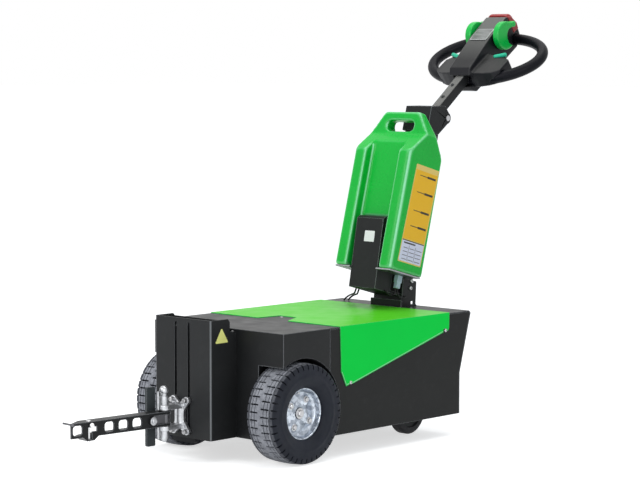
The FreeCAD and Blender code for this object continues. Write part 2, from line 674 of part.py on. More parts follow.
def mast_head():
    """The top of the mast: a cap over the column and two cheeks that hold the tiller pivot."""
    top = PIVOT.z + 35
    front_top = mast_point(HEAD_FRONT, 0, HEAD_FOOT + 69)
    front_low = mast_point(HEAD_FRONT, 0, HEAD_FOOT)
    rear_low = mast_point(COLUMN_REAR, 0, HEAD_FOOT)
    line = [(front_low.x, front_low.z), (front_top.x, top), (PIVOT.x + 8, top), (PIVOT.x - 8, PIVOT.z + 15),
            (PIVOT.x - 14, PIVOT.z - 9), (rear_low.x, rear_low.z)]
    solid = side_plate(line, -COLUMN_HALF, COLUMN_HALF)
    across = V(0, COLUMN_HALF, 0)
    solid = solid.fuse(rod(PIVOT - across, PIVOT + across, PIVOT_R + 12))
    low = mast_point(COLUMN_REAR, 0, HEAD_FOOT - 40)
    high = mast_point(COLUMN_REAR, 0, HEAD_FOOT + 142)
    space = [(low.x, low.z), (high.x, high.z), (high.x - 200, high.z), (high.x - 200, low.z)]
    solid = solid.cut(side_plate(space, CHEEK_T - COLUMN_HALF, COLUMN_HALF - CHEEK_T))
    return solid.cut(rod(PIVOT - across * 2, PIVOT + across * 2, PIVOT_R + RUN_FIT))


def battery_dock():
    """The black holder that the battery pack straddles, with a sloped lip on top."""
    front_top = PACK_FRONT - 2
    front_low = front_top - 15
    line = [(COLUMN_FRONT, DOCK_FOOT), (front_low, DOCK_FOOT), (front_top, DOCK_TOP - 8),
            (front_top - 8, DOCK_TOP),
            (COLUMN_FRONT, DOCK_TOP)]
    body = side_plate(line, -DOCK_HALF, DOCK_HALF)
    recess = box(COLUMN_FRONT - 1, COLUMN_FRONT + 54, -DOCK_HALF - 1, DOCK_HALF + 1, DOCK_FOOT + 8,
                 PACK_BOTTOM - 5)
    body = body.cut(recess)
    for side in (-1, 1):
        cheek_room = between(0, HEAD_FRONT + 3, side * (COLUMN_HALF - 1), side * (DOCK_HALF + 1), 0,
                             PACK_BOTTOM - 4)
        body = body.cut(cheek_room)
    return mast_local(body)


def battery_tray():
    plate = box(PACK_REAR + 5, PACK_FRONT - 5, -PACK_HALF + 4, PACK_HALF - 4, PACK_BOTTOM - 5,
                PACK_BOTTOM - SEAT)
    hole = box(0, 200, -DOCK_HALF, DOCK_HALF, 0, 200)
    hole = hole.fuse(box(-50, COLUMN_FRONT + SEAT, -COLUMN_HALF - SEAT, COLUMN_HALF + SEAT, 0, 200))
    return mast_local(plate.cut(hole))


def battery_pack():
    """The moulded saddle case: two legs, a front channel and a thinner grip part with a hand hole."""
    side_line = [(PACK_REAR, PACK_BOTTOM), (PACK_FRONT, PACK_BOTTOM), (PACK_FRONT, PACK_SHOULDER),
                 (GRIP_FRONT, PACK_NECK), (GRIP_FRONT, PACK_TOP), (GRIP_REAR, PACK_TOP),
                 (37, PACK_NECK - 4),
                 (PACK_REAR, PACK_SHOULDER + 2)]
    case = side_plate(side_line, -PACK_HALF, PACK_HALF)
    case = fillet_along(case, Z_AXIS, 13, lambda centre: centre.x > PACK_FRONT - 1)
    case = fillet_along(case, Z_AXIS, 7, lambda centre: centre.x < PACK_REAR + 1)
    front_line = [(-PACK_HALF, 0), (PACK_HALF, 0), (PACK_HALF, PACK_NECK), (GRIP_HALF, PACK_TOP),
                  (-GRIP_HALF, PACK_TOP), (-PACK_HALF, PACK_NECK)]
    case = case.common(front_plate(front_line, -50, 250))
    channel = box(CHANNEL_FLOOR, 200, -CHANNEL_HALF, CHANNEL_HALF, 0, 600)
    channel = fillet_along(channel, Z_AXIS, 4, lambda centre: centre.x < CHANNEL_FLOOR + 1)
    saddle = box(-10, 200, -DOCK_HALF - 3, DOCK_HALF + 3, 0, DOCK_TOP + 3)
    groove = box(-10, COLUMN_FRONT + 1, -COLUMN_HALF - 2, COLUMN_HALF + 2, 0, 600)
    groove = groove.fuse(box(-10, HEAD_FRONT + 1, -COLUMN_HALF - 2, COLUMN_HALF + 2, HEAD_FOOT - 3, 600))
    case = case.cut(channel).cut(saddle).cut(groove)
    hand_hole = rounded_box(0, 200, -48, 48, PACK_NECK + 7, PACK_TOP - 25, 13, X_AXIS)
    return mast_local(case.cut(hand_hole))


def battery_connector():
    """The pack's plug and socket, hung under the tray beside the holder."""
    block = box(33, 53, DOCK_HALF + 1, DOCK_HALF + 14, PLUG_FOOT + 16, PACK_BOTTOM - 5)
    plug = box(35, 51, DOCK_HALF + 2, DOCK_HALF + 13, PLUG_FOOT, PLUG_FOOT + 16)
    return mast_local(block.fuse(plug))


def mast_cables():
    """Fixed leads: two from the connector to the holder and the mast foot, two from there to the deck."""
    y = DOCK_HALF
    to_holder = [(47, y + 7.5, PLUG_FOOT - 1), (48, y + 8, 27), (60, y + 7, 20), (74, y + 5.6, 22),
                 (84, y + 2.5, 30)]
    to_foot = [(39, y + 7.5, PLUG_FOOT - 1), (38, y + 9, 28), (26, y + 10.5, 19), (10, y + 9, 22),
               (-2, y + 7.2, 29)]
    leads = [routed([mast_point(*point) for point in route], CABLE_R) for route in (to_holder, to_foot)]
    for offset in (0, 12):
        start = mast_point(DOCK_FOOT + 60 + offset, 6 - y, DOCK_FOOT - CABLE_R)
        end = V(MAST_X - 28 + offset, -176 - offset / 2, DECK_Z + COVER_T + 0.4)
        leads.append(routed([start, start + V(-14, -18, -14), end + V(12, 30, 16), end + V(3, 8, 6), end],
                            CABLE_R))
    return Part.makeCompound(leads)


# ---------------------------------------------------------------- tiller
def tube_local(shape):
    """From the tube's own frame (x up the tube from the pivot, z down) into the machine."""
    shape.rotate(V(0, 0, 0), Y_AXIS, TUBE_SLOPE + 180)
    shape.translate(PIVOT)
    return shape


def tube_point(along, down):
    slope = math.radians(TUBE_SLOPE)
    return PIVOT + V(-along * math.cos(slope) - down * math.sin(slope), 0,
                     along * math.sin(slope) - down * math.cos(slope))


def tiller_tube():
    half = TUBE_SIDE / 2
    length = HEAD_REACH - HEAD_MOUTH - 1.2
    tube = rounded_box(8, length, -half, half, -half - TUBE_LIFT, half - TUBE_LIFT, 3, X_AXIS)
    lug_end = rod(V(0, -half, 0), V(0, half, 0), half)
    neck = box(0, 16, -half, half, -half - TUBE_LIFT + 8, half)
    tube = tube.fuse(lug_end).fuse(neck).cut(rod(V(0, -half - 1, 0), V(0, half + 1, 0), PIVOT_R + RUN_FIT))
    return tube_local(tube).cut(head_local(loop_bar(LOOP_R + SEAT)))


def tiller_pivot():
    """The pivot bolt with its spacers and heads."""
    half = TUBE_SIDE / 2
    inner = COLUMN_HALF - CHEEK_T
    bolt = rod(PIVOT - V(0, COLUMN_HALF + 1, 0), PIVOT + V(0, COLUMN_HALF + 1, 0), PIVOT_R)
    for side in (-1, 1):
        spacer = rod(PIVOT + V(0, side * (half + 0.3), 0), PIVOT + V(0, side * inner, 0), PIVOT_R + 4)
        head = rod(PIVOT + V(0, side * COLUMN_HALF, 0), PIVOT + V(0, side * (COLUMN_HALF + 4), 0),
                   PIVOT_R + 3)
        bolt = bolt.fuse(spacer).fuse(head)
    return bolt


def head_local(shape):
    """From the head's own frame (x towards the mast, z out of its top face) into the machine."""
    shape.rotate(V(0, 0, 0), Y_AXIS, HEAD_SLOPE)
    shape.translate(tube_point(HEAD_REACH, HEAD_DROP))
    return shape


def loop_bar(radius):
    ellipse = Part.Ellipse(V(0, LOOP_HALF_W, 0), V(LOOP_HALF_L, 0, 0), V(0, 0, 0))
    path = Part.Wire([ellipse.toShape()])
    start = ellipse.value(0)
    circle = Part.Wire([Part.makeCircle(radius, start, ellipse.tangent(0)[0])])
    return path.makePipeShell([circle], True, True)


def grip_loop():
    return head_local(loop_bar(LOOP_R))


HEAD_LINE = [(133, 34), (118, 52), (-10, 73), (-102, 79), (-124, 66), (-136, 38), (-130, 0), (-100, -22),
             (70, -24),
             (HEAD_MOUTH, -8), (HEAD_MOUTH, 34)]


def head_blank():
    body = side_plate(HEAD_LINE, -HEAD_HALF, HEAD_HALF)
    return fillet_along(body, Y_AXIS, 4, lambda centre: centre.x < 60)


def shoulder():
    """One shoulder: it falls away from the housing's top face to the front bar."""
    rear = SHOULDER_REAR
    plan = [(rear, 0), (rear, SHOULDER_Y - 16), (rear + 12, SHOULDER_Y + 6), (92, SHOULDER_Y + 6),
            (108, SHOULDER_Y - 12), (117, SHOULDER_Y - 34), (122, SHOULDER_Y - 58), (124, NECK_HALF + 1),
            (118, 0)]
    blank = plan_plate(plan, -12, SHOULDER_TOP)
    slope = front_plate([(HEAD_HALF, SHOULDER_TOP), (SHOULDER_Y, SHOULDER_LOW),
                         (SHOULDER_Y + 20, SHOULDER_LOW),
                         (SHOULDER_Y + 20, SHOULDER_TOP + 1), (HEAD_HALF, SHOULDER_TOP + 1)], -50, 200)
    return blank.cut(slope)


def tiller_head():
    """The control housing over the middle of the loop, with shoulders that run out to the front bar."""
    body = head_blank().fuse(shoulder()).fuse(mirrored(shoulder()))
    mouth = box(HEAD_MOUTH, 200, -NECK_HALF - 1, NECK_HALF + 1, -50, 34)
    body = body.cut(loop_bar(LOOP_R + SEAT)).cut(mouth).cut(belly_room(SEAT))
    return head_local(max(body.Solids, key=lambda solid: solid.Volume))


def belly_room(gap):
    """The space at the far end of the housing that the belly button fills."""
    return box(-200, -108 + gap, -HEAD_HALF - 1, HEAD_HALF + 1, LOOP_R + 4 - gap, 100)


def belly_button():
    dome = rod(V(-112, 3 - HEAD_HALF, 58), V(-112, HEAD_HALF - 3, 58), 22)
    dome = dome.makeFillet(9, [edge for edge in dome.Edges if edge.Curve.TypeId == "Part::GeomCircle"])
    return head_local(head_blank().fuse(dome).common(belly_room(0)))


def drive_wings():
    """The butterfly throttle: one crescent wing on each side of the housing."""
    horn_line = [(WING_X - 10, WING_Z + 39), (WING_X - 46, WING_Z + 17), (WING_X - 48, WING_Z),
                 (WING_X - 28, WING_Z + 7),
                 (WING_X - 4, WING_Z + 12)]
    wings = []
    for side in (-1, 1):
        inner = side * (HEAD_HALF + 3)
        outer = inner + side * WING_T
        disc = rod(V(WING_X, inner, WING_Z), V(WING_X, outer, WING_Z), WING_R)
        bite = rod(V(WING_X - 26, inner - side, WING_Z - 18), V(WING_X - 26, outer + side, WING_Z - 18), 27)
        horn = side_plate(horn_line, min(inner, outer), max(inner, outer))
        knob = rod(V(WING_X - 48, inner, WING_Z + 8), V(WING_X - 48, outer, WING_Z + 8), 9)
        hub = rod(V(WING_X + 12, inner - side * (3 - SEAT), WING_Z), V(WING_X + 12, inner + side, WING_Z),
                  12)
        wings.append(disc.cut(bite).fuse(horn).fuse(knob).fuse(hub))
    return head_local(Part.makeCompound(wings))


def horn_buttons():
    """A slim paddle on the rear edge of each shoulder."""
    buttons = []
    for side in (-1, 1):
        drop = (SHOULDER_TOP - SHOULDER_LOW) / (SHOULDER_Y - HEAD_HALF)
        start = V(SHOULDER_REAR + 8, side * 68, SHOULDER_TOP - 30 * drop - 1)
        end = V(SHOULDER_REAR - 3, side * 95, SHOULDER_TOP - 57 * drop + 3)
        paddle = rod(start, end, 6.5)
        for centre in (start, end):
            paddle = paddle.fuse(Part.makeSphere(6.5, centre))
        buttons.append(paddle.cut(shoulder() if side > 0 else mirrored(shoulder())))
    return head_local(Part.makeCompound(buttons))


def tiller_neck():
    """The clamp under the tube's upper end that joins it to the head."""
    block = side_plate([(136, -2), (136, -14), (118, -30), (84, -30), (70, -24.2), (HEAD_MOUTH, -8.3)],
                       -NECK_HALF, NECK_HALF)
    block = block.cut(loop_bar(LOOP_R + SEAT))
    return head_local(max(block.Solids, key=lambda solid: solid.Volume))


def build():
    add("base_plate", base_plate())
    add("front_housing", front_housing())
    both_sides("side_panel", side_panel())
    add("rear_panel", rear_panel())
    add("deck_cover", deck_cover())
    both_sides("wheel_box", wheel_box())
    add("castor_beam", castor_beam())
    add("drive_unit", drive_unit())
    both_sides("axle", stub_axle())
    both_sides("tyre", tyre())
    both_sides("rim", rim())
    both_sides("castor_mount", castor_mount())
    both_sides("castor_fork", castor_fork())
    both_sides("castor_wheel", castor_wheel())
    add("hitch_tower", hitch_tower())
    add("hitch_carriage", hitch_carriage())
    add("hitch_bracket", hitch_bracket())
    add("hitch_bolts", hitch_bolts())
    add("coupling_pin", coupling_pin())
    add("lock_rod", lock_rod())
    add("drawbar", drawbar())
    add("drawbar_block", drawbar_block())
    add("drawbar_upright", drawbar_upright())
    add("drawbar_end_pin", drawbar_end_pin())
    add("mast_base", mast_base())
    add("mast_column", mast_column())
    add("mast_head", mast_head())
    add("battery_dock", battery_dock())
    add("battery_tray", battery_tray())
    add("battery_pack", battery_pack())
    add("battery_connector", battery_connector())
    add("mast_cables", mast_cables())
    add("tiller_tube", tiller_tube())
    add("tiller_pivot", tiller_pivot())
    add("grip_loop", grip_loop())
    add("tiller_head", tiller_head())
    add("tiller_neck", tiller_neck())
    add("drive_wings", drive_wings())
    add("belly_button", belly_button())
    add("horn_buttons", horn_buttons())


def export():
    """Every piece moves along X so that the origin is under the middle of the whole machine."""
    os.makedirs("parts", exist_ok=True)
    whole = FreeCAD.BoundBox()
    for shape in pieces.values():
        whole.add(shape.optimalBoundingBox(False))
    shift = V(-whole.Center.x, 0, 0)
    for name, shape in pieces.items():
        shape.translate(shift)
        shape.exportStep("parts/" + name + ".step")


build()
export()
print("bends of the leads in millimetres:", bend_radii)
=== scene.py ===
"""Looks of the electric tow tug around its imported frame.  Lengths in the helper frames are millimetres."""
import json
import math

import bpy
import bmesh
from mathutils import Matrix, Vector


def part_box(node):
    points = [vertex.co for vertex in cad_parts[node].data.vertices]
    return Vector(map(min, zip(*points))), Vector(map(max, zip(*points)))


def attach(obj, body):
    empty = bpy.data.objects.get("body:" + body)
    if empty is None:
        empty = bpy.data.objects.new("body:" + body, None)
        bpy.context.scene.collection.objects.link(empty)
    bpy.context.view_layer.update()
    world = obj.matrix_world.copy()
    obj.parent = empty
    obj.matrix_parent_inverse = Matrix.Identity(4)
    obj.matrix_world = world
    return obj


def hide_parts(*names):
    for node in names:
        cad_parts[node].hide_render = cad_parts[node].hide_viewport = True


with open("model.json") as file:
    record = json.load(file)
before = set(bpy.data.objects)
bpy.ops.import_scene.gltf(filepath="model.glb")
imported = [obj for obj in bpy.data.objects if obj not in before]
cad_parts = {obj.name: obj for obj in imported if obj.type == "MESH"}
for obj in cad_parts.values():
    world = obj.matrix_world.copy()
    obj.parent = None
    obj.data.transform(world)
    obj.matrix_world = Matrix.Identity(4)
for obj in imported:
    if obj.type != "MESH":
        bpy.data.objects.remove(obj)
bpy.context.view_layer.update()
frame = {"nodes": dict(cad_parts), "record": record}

NODES = frame["nodes"]
RIM_LOW, RIM_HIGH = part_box("right_rim")
AXLE_X = (RIM_LOW[0] + RIM_HIGH[0]) / 2

# sizes of the machine in millimetres, from the drive axle, the centre plane and the floor
AXLE_HEIGHT = 130.0
WHEEL_Y = 205.0
BODY_HALF = 236
COVER_HALF = 238
DECK_TOP = 341.5
SIDE_NAMES = {1: "right", -1: "left"}


# ------------------------------------------------------------------ helper frames
def turn(degrees, axis):
    return Matrix.Rotation(math.radians(degrees), 4, axis)


def shift(x, y, z):
    return Matrix.Translation((x, y, z))


IDENTITY = Matrix.Identity(4)
MAST_LEAN = 15
BAR_SWING = -5
TUBE_PIVOT = (-796.03, 0, 860.97)
TUBE_TURN = 217.8
HEAD_SLOPE = 34.4
MACHINE = shift(AXLE_X, 0, 0) @ Matrix.Scale(0.001, 4)
MAST = MACHINE @ shift(-600, 0, DECK_TOP) @ turn(-MAST_LEAN, "Y")
BAR = MACHINE @ shift(226, -37, 0) @ turn(BAR_SWING, "Z")
TUBE = MACHINE @ shift(*TUBE_PIVOT) @ turn(TUBE_TURN, "Y")
HEAD = TUBE @ shift(289.2, 0, 14.9) @ turn(-TUBE_TURN + HEAD_SLOPE, "Y")


def facing(direction, at, base=MACHINE, roll=0.0):
    """A frame whose Z axis points along a direction, at a place in a helper frame."""
    spin = Vector(direction).to_track_quat("Z", "Y").to_matrix().to_4x4()
    return base @ Matrix.Translation(at) @ spin @ turn(roll, "Z")


# ------------------------------------------------------------------ materials
def linear(red, green, blue):
    """Display colour from 0 to 255 as scene-linear."""
    values = []
    for channel in (red, green, blue):
        c = channel / 255
        values.append(c / 12.92 if c <= 0.04045 else ((c + 0.055) / 1.055) ** 2.4)
    return tuple(values)


class Nodes:
    """A material's node tree with short calls for the nodes used here."""

    def __init__(self, name):
        self.material = bpy.data.materials.new(name)
        self.material.use_nodes = True
        self.tree = self.material.node_tree
        self.shader = self.tree.nodes["Principled BSDF"]
        coordinates = self.tree.nodes.new("ShaderNodeTexCoord")
        self.place = coordinates.outputs["Object"]
        self.normal = coordinates.outputs["Normal"]

    def link(self, out, into):
        self.tree.links.new(out, into)

    def noise(self, scale, detail=3.0, stretch=None, roughness=0.5):
        node = self.tree.nodes.new("ShaderNodeTexNoise")
        node.inputs["Scale"].default_value = scale
        node.inputs["Detail"].default_value = detail
        node.inputs["Roughness"].default_value = roughness
        place = self.place
        if stretch:
            mapping = self.tree.nodes.new("ShaderNodeMapping")
            mapping.inputs["Scale"].default_value = stretch
            self.link(self.place, mapping.inputs["Vector"])
            place = mapping.outputs["Vector"]
        self.link(place, node.inputs["Vector"])
        return node.outputs["Fac"]

    def cells(self, scale):
        """A colour of its own for each crystal or cell."""
        node = self.tree.nodes.new("ShaderNodeTexVoronoi")
        node.inputs["Scale"].default_value = scale
        self.link(self.place, node.inputs["Vector"])
        return node.outputs["Color"]

    def axes(self, vector):
        """The X, Y and Z of a place or direction."""
        node = self.tree.nodes.new("ShaderNodeSeparateXYZ")
        self.link(vector, node.inputs[0])
        return node.outputs

    def ramp(self, value, stops):
        node = self.tree.nodes.new("ShaderNodeValToRGB")
        elements = node.color_ramp.elements
        while len(elements) < len(stops):
            elements.new(0.5)
        for element, (position, colour) in zip(elements, stops):
            element.position = position
            element.color = colour + (1.0,)
        self.link(value, node.inputs["Fac"])
        return node.outputs["Color"]

    def span(self, value, low, high, out_low, out_high):
        node = self.tree.nodes.new("ShaderNodeMapRange")
        numbers = {"From Min": low, "From Max": high, "To Min": out_low, "To Max": out_high}
        for socket, number in numbers.items():
            node.inputs[socket].default_value = number
        self.link(value, node.inputs["Value"])
        return node.outputs["Result"]

    def mix(self, factor, first, second):
        node = self.tree.nodes.new("ShaderNodeMix")
        node.data_type = "RGBA"
        for value, socket in ((factor, node.inputs[0]), (first, node.inputs[6]), (second, node.inputs[7])):
            if isinstance(value, tuple):
                socket.default_value = value + (1.0,)
            elif isinstance(value, (int, float)):
                socket.default_value = value
            else:
                self.link(value, socket)
        return node.outputs[2]

    def maths(self, operation, first, second):
        node = self.tree.nodes.new("ShaderNodeMath")
        node.operation = operation
        for value, socket in ((first, node.inputs[0]), (second, node.inputs[1])):
            if isinstance(value, (int, float)):
                socket.default_value = value
            else:
                self.link(value, socket)
        return node.outputs["Value"]

    def edges(self, radius, low, high, strength):
        """How near a place is to a bend in the surface, from 0 to a strength: the mask of the painted
        highlight on sharp bends.
        """
        rounded_off = self.tree.nodes.new("ShaderNodeBevel")
        rounded_off.samples = 6
        rounded_off.inputs["Radius"].default_value = radius
        surface = self.tree.nodes.new("ShaderNodeNewGeometry")
        dot = self.tree.nodes.new("ShaderNodeVectorMath")
        dot.operation = "DOT_PRODUCT"
        self.link(rounded_off.outputs["Normal"], dot.inputs[0])
        self.link(surface.outputs["True Normal"], dot.inputs[1])
        return self.span(dot.outputs["Value"], 1 - low, 1 - high, 0.0, strength)

    def ridge_highlight_mask(self, low, high, strength):
        """Convex rims of a finely meshed moulding, from 0 to a strength: the mask of a painted highlight on
        those rims.
        """
        surface = self.tree.nodes.new("ShaderNodeNewGeometry")
        return self.span(surface.outputs["Pointiness"], low, high, 0.0, strength)

    def facing_up(self, low, high):
        """0 on upright faces, 1 on faces that look up: the mask of the painted sheen on upward faces."""
        return self.span(self.axes(self.normal)["Z"], low, high, 0.0, 1.0)

    def corners(self, low, high, strength):
        """Rounded upright corners that turn from the hitch end to a side, from 0 to a strength: the mask of a
        painted highlight on these corners.
        """
        turned = self.axes(self.normal)
        both = self.maths("MULTIPLY", turned["X"], turned["Y"])
        return self.span(self.maths("ABSOLUTE", both, 0.0), low, high, 0.0, strength)

    def bump(self, height, strength, distance):
        node = self.tree.nodes.new("ShaderNodeBump")
        node.inputs["Strength"].default_value = strength
        node.inputs["Distance"].default_value = distance
        self.link(height, node.inputs["Height"])
        self.link(node.outputs["Normal"], self.shader.inputs["Normal"])

    def set(self, **values):
        for key, value in values.items():
            self.shader.inputs[key.replace("_", " ")].default_value = value

    def colour(self, value):
        self.link(value, self.shader.inputs["Base Color"])

    def rough(self, value):
        self.link(value, self.shader.inputs["Roughness"])


def tone(colour, factor):
    """A lighter or darker version of a colour."""
    return tuple(min(1.0, channel * factor) for channel in colour)


def painted(name, colour, rough, grain=700.0, relief=0.00006, spread=0.14, specular=0.4, dust=0.0,
            edge=0.0, highlight_tone=(0.42, 0.43, 0.45), edge_radius=0.0022, corner=0.0, corner_low=0.25,
            ridge_highlight=0.0, ridge_highlight_low=0.515, top=None, sheen_low=0.35, sheen_fade=None):
    """Powder coat or moulded plastic: slow colour drift, fine orange peel, uneven gloss.

    edge, corner and ridge are the strengths of painted highlights in the highlight tone, on sharp bends, on
    rounded upright corners and on the rims of a moulding.  top is a painted sheen, a lighter colour on what
    looks up as if lit from above, and the sheen fade (low, high, colour) darkens that painted sheen lower
    down, as painted shade.
    """
    m = Nodes(name)
    drift = m.noise(5.0, 4.0)
    base = m.ramp(drift, [(0.25, tone(colour, 1 - spread)), (0.75, tone(colour, 1 + spread))])
    # painted shade: the painted sheen on upward faces gets darker lower down
    if sheen_fade:
        low, high, dark = sheen_fade
        top = m.mix(m.span(m.axes(m.place)["Z"], low, high, 0.0, 1.0), dark, top)
    # painted sheen: faces that look up get a lighter colour, as if lit from above
    if top:
        base = m.mix(m.facing_up(sheen_low, 0.95), base, top)
    if dust:
        specks = m.noise(38.0, 6.0, roughness=0.7)
        base = m.mix(m.span(specks, 0.52, 0.8, 0.0, dust), base, (0.3, 0.3, 0.3))
    # painted highlights: the highlight tone laid on sharp bends, rounded upright corners and moulding rims
    if edge:
        base = m.mix(m.edges(edge_radius, 0.02, 0.2, edge), base, highlight_tone)
    if corner:
        base = m.mix(m.corners(corner_low, 0.48, corner), base, highlight_tone)
    if ridge_highlight:
        base = m.mix(m.ridge_highlight_mask(ridge_highlight_low, ridge_highlight_low + 0.055, ridge_highlight), base, highlight_tone)
    m.colour(base)
    m.rough(m.span(m.noise(21.0, 5.0), 0.2, 0.8, rough - 0.06, rough + 0.08))
    m.bump(m.noise(grain, 2.0), 0.6, relief)
    m.set(Specular_IOR_Level=specular)
    return m.material


def metal(name, colour, rough, cloud=60.0, spread=0.12, relief=0.00004, grain=400.0, stretch=None):
    """Bare or cast metal with clouds of brighter and duller places, drawn out along a grain by stretch."""
    m = Nodes(name)
    stops = [(0.3, tone(colour, 1 - spread)), (0.7, tone(colour, 1 + spread))]
    m.colour(m.ramp(m.noise(cloud, 4.0, stretch), stops))
    m.rough(m.span(m.noise(cloud * 2.3, 4.0, stretch), 0.25, 0.75, rough - 0.08, rough + 0.1))
    m.bump(m.noise(grain, 3.0, stretch), 0.5, relief)
    m.set(Metallic=1.0)
    return m.material


def zinc_sheet():
    """Galvanised steel: flat crystals of slightly different brightness."""
    m = Nodes("zinc")
    grey = m.tree.nodes.new("ShaderNodeSeparateColor")
    m.link(m.cells(120.0), grey.inputs["Color"])
    m.colour(m.ramp(grey.outputs[0], [(0.0, (0.24, 0.27, 0.32)), (1.0, (0.60, 0.65, 0.72))]))
    m.rough(m.span(grey.outputs[1], 0.0, 1.0, 0.30, 0.50))
    m.bump(m.noise(90.0, 4.0), 0.4, 0.0002)
    m.set(Metallic=0.9)
    return m.material


def tyre_rubber():
    """Dark sidewalls and grooves, with dry grey dust on the tops of the tread blocks."""
    m = Nodes("tyre_rubber")
    place = m.axes(m.place)
    along = m.maths("MULTIPLY", place["X"], place["X"])
    upright = m.maths("MULTIPLY", place["Z"], place["Z"])
    radius = m.maths("SQRT", m.maths("ADD", along, upright), 0.0)
    off_centre = m.maths("ABSOLUTE", place["Y"], 0.0)
    wear = m.span(radius, 0.1255, 0.1272, 0.0, 1.0)
    middle = m.span(off_centre, 0.031, 0.036, 1.0, 0.3)
    mottled = m.span(m.noise(75.0, 6.0, roughness=0.7), 0.3, 0.7, 0.4, 1.0)
    dusty = m.maths("MULTIPLY", m.maths("MULTIPLY", wear, middle), mottled)
    side = m.ramp(m.noise(18.0, 5.0), [(0.3, (0.010, 0.012, 0.019)), (0.75, (0.017, 0.020, 0.030))])
    m.colour(m.mix(dusty, side, (0.38, 0.39, 0.43)))
    m.rough(m.span(m.noise(40.0, 4.0), 0.3, 0.7, 0.55, 0.72))
    m.bump(m.noise(900.0, 3.0), 0.5, 0.0001)
    m.set(Specular_IOR_Level=0.2)
    return m.material


BLACK = linear(34, 35, 36)
GREEN = linear(0, 222, 74)
CASE_GREEN = linear(10, 184, 60)
# tones of the painted highlights on bends, rounded corners and moulding rims
GREY_HIGHLIGHT = (0.34, 0.35, 0.37)
PALE_HIGHLIGHT = (0.30, 0.90, 0.42)

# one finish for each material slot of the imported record
MATERIALS = {
    # black paint, with a grey painted highlight on its sharp bends and rounded upright corners
    "black_paint": painted("black_paint", BLACK, 0.38, specular=0.14, dust=0.02, edge=0.8,
                           highlight_tone=GREY_HIGHLIGHT, edge_radius=0.0034, corner=0.5),
    "black_steel": painted("black_steel", linear(28, 29, 31), 0.55, specular=0.14, dust=0.04),
    # green paint, with a pale painted highlight on its bends and a lighter, yellower painted sheen on upward
    # faces
    "green_paint": painted("green_paint", GREEN, 0.36, spread=0.04, specular=0.07, edge=0.6,
                           highlight_tone=PALE_HIGHLIGHT, top=linear(84, 202, 38), sheen_low=0.7),
    # battery case green, with pale painted highlights on its rounded upright corners and moulding rims
    "green_plastic": painted("green_plastic", CASE_GREEN, 0.27, grain=450.0, relief=0.00006, spread=0.06,
                             specular=0.22, highlight_tone=(0.42, 0.94, 0.60), corner=0.8, corner_low=0.36,
                             ridge_highlight=0.9, ridge_highlight_low=0.509),
    "motor_grey": painted("motor_grey", linear(58, 60, 62), 0.6, specular=0.2, dust=0.06),
    "steel": metal("steel", (0.46, 0.46, 0.47), 0.34),
    "tyre_rubber": tyre_rubber(),
    "zinc": zinc_sheet(),
    "castor_rubber": painted("castor_rubber", linear(66, 66, 68), 0.65, specular=0.2, dust=0.1),
    "chrome_cast": metal("chrome_cast", (0.50, 0.51, 0.53), 0.38, cloud=90.0, spread=0.2, relief=0.00012,
                         grain=160.0),
    "tray_alu": metal("tray_alu", (0.27, 0.28, 0.29), 0.42, stretch=(1.0, 30.0, 1.0)),
    "connector_grey": painted("connector_grey", linear(205, 216, 252), 0.45, specular=0.3),
    "cable_black": painted("cable_black", linear(22, 22, 24), 0.5, specular=0.2),
    "grip_black": painted("grip_black", linear(12, 13, 20), 0.42, grain=1100.0, relief=0.0001, specular=0.12),
    # head black, with a painted sheen on upward faces that turns darker lower down as painted shade, and a
    # faint painted highlight on moulding rims
    "head_black": painted("head_black", linear(20, 21, 26), 0.40, grain=1300.0, relief=0.00008, specular=0.2,
                          ridge_highlight=0.25, highlight_tone=(0.2, 0.2, 0.2), top=linear(116, 117, 114), sheen_low=0.45,
                          sheen_fade=(1.025, 1.10, linear(40, 41, 41))),
    "button_red": painted("button_red", linear(150, 14, 20), 0.26, specular=0.5),
    "button_green": painted("button_green", linear(30, 190, 150), 0.35, specular=0.3),
}

# finishes of single pieces that differ from their slot's own, and of what only this script adds
EXTRA = {
    # the wings' green, with a pale painted highlight on their moulding rims
    "wing_green_glint": painted("wing_green_glint", linear(4, 186, 72), 0.28, grain=500.0, relief=0.00006, spread=0.05,
                          specular=0.35, ridge_highlight=0.3, highlight_tone=PALE_HIGHLIGHT),
    # pale green-grey of the strip that is a painted highlight along the cover's edge
    "hem_highlight": painted("hem_highlight", linear(150, 214, 172), 0.4, specular=0.2),
    "dark_steel": metal("dark_steel", (0.13, 0.13, 0.14), 0.42),
    # the upright's grey, with a painted highlight on its sharp bends
    "upright_grey": painted("upright_grey", linear(62, 67, 69), 0.5, specular=0.15, edge=0.5),
    # the tube's black, with a grey painted highlight on its bends and a lighter painted sheen on upward faces
    "tube_black_sheen": painted("tube_black_sheen", BLACK, 0.38, specular=0.14, edge=0.6, highlight_tone=GREY_HIGHLIGHT,
                          top=linear(128, 128, 125)),
    # a darker copy of the black paint for the side panels, as painted shade, with a grey painted highlight on
    # their bends
    "panel_black_shaded": painted("panel_black_shaded", linear(28, 29, 29), 0.38, specular=0.12, dust=0.02, edge=0.8,
                           highlight_tone=GREY_HIGHLIGHT, edge_radius=0.0034),
    "bright_steel": metal("bright_steel", (0.86, 0.86, 0.87), 0.36),
    # the tower's black, with a painted highlight on its rounded upright corners
    "tower_black_gleam": painted("tower_black_gleam", linear(41, 42, 43), 0.38, specular=0.14, dust=0.02, corner=0.85,
                           highlight_tone=(0.24, 0.25, 0.26)),
    "plate_silver": metal("plate_silver", (0.52, 0.54, 0.55), 0.32, cloud=30.0, stretch=(1.0, 18.0, 1.0)),
    "plate_dark": metal("plate_dark", (0.20, 0.21, 0.21), 0.38, cloud=24.0, spread=0.3,
                        stretch=(6.0, 1.0, 1.0)),
}
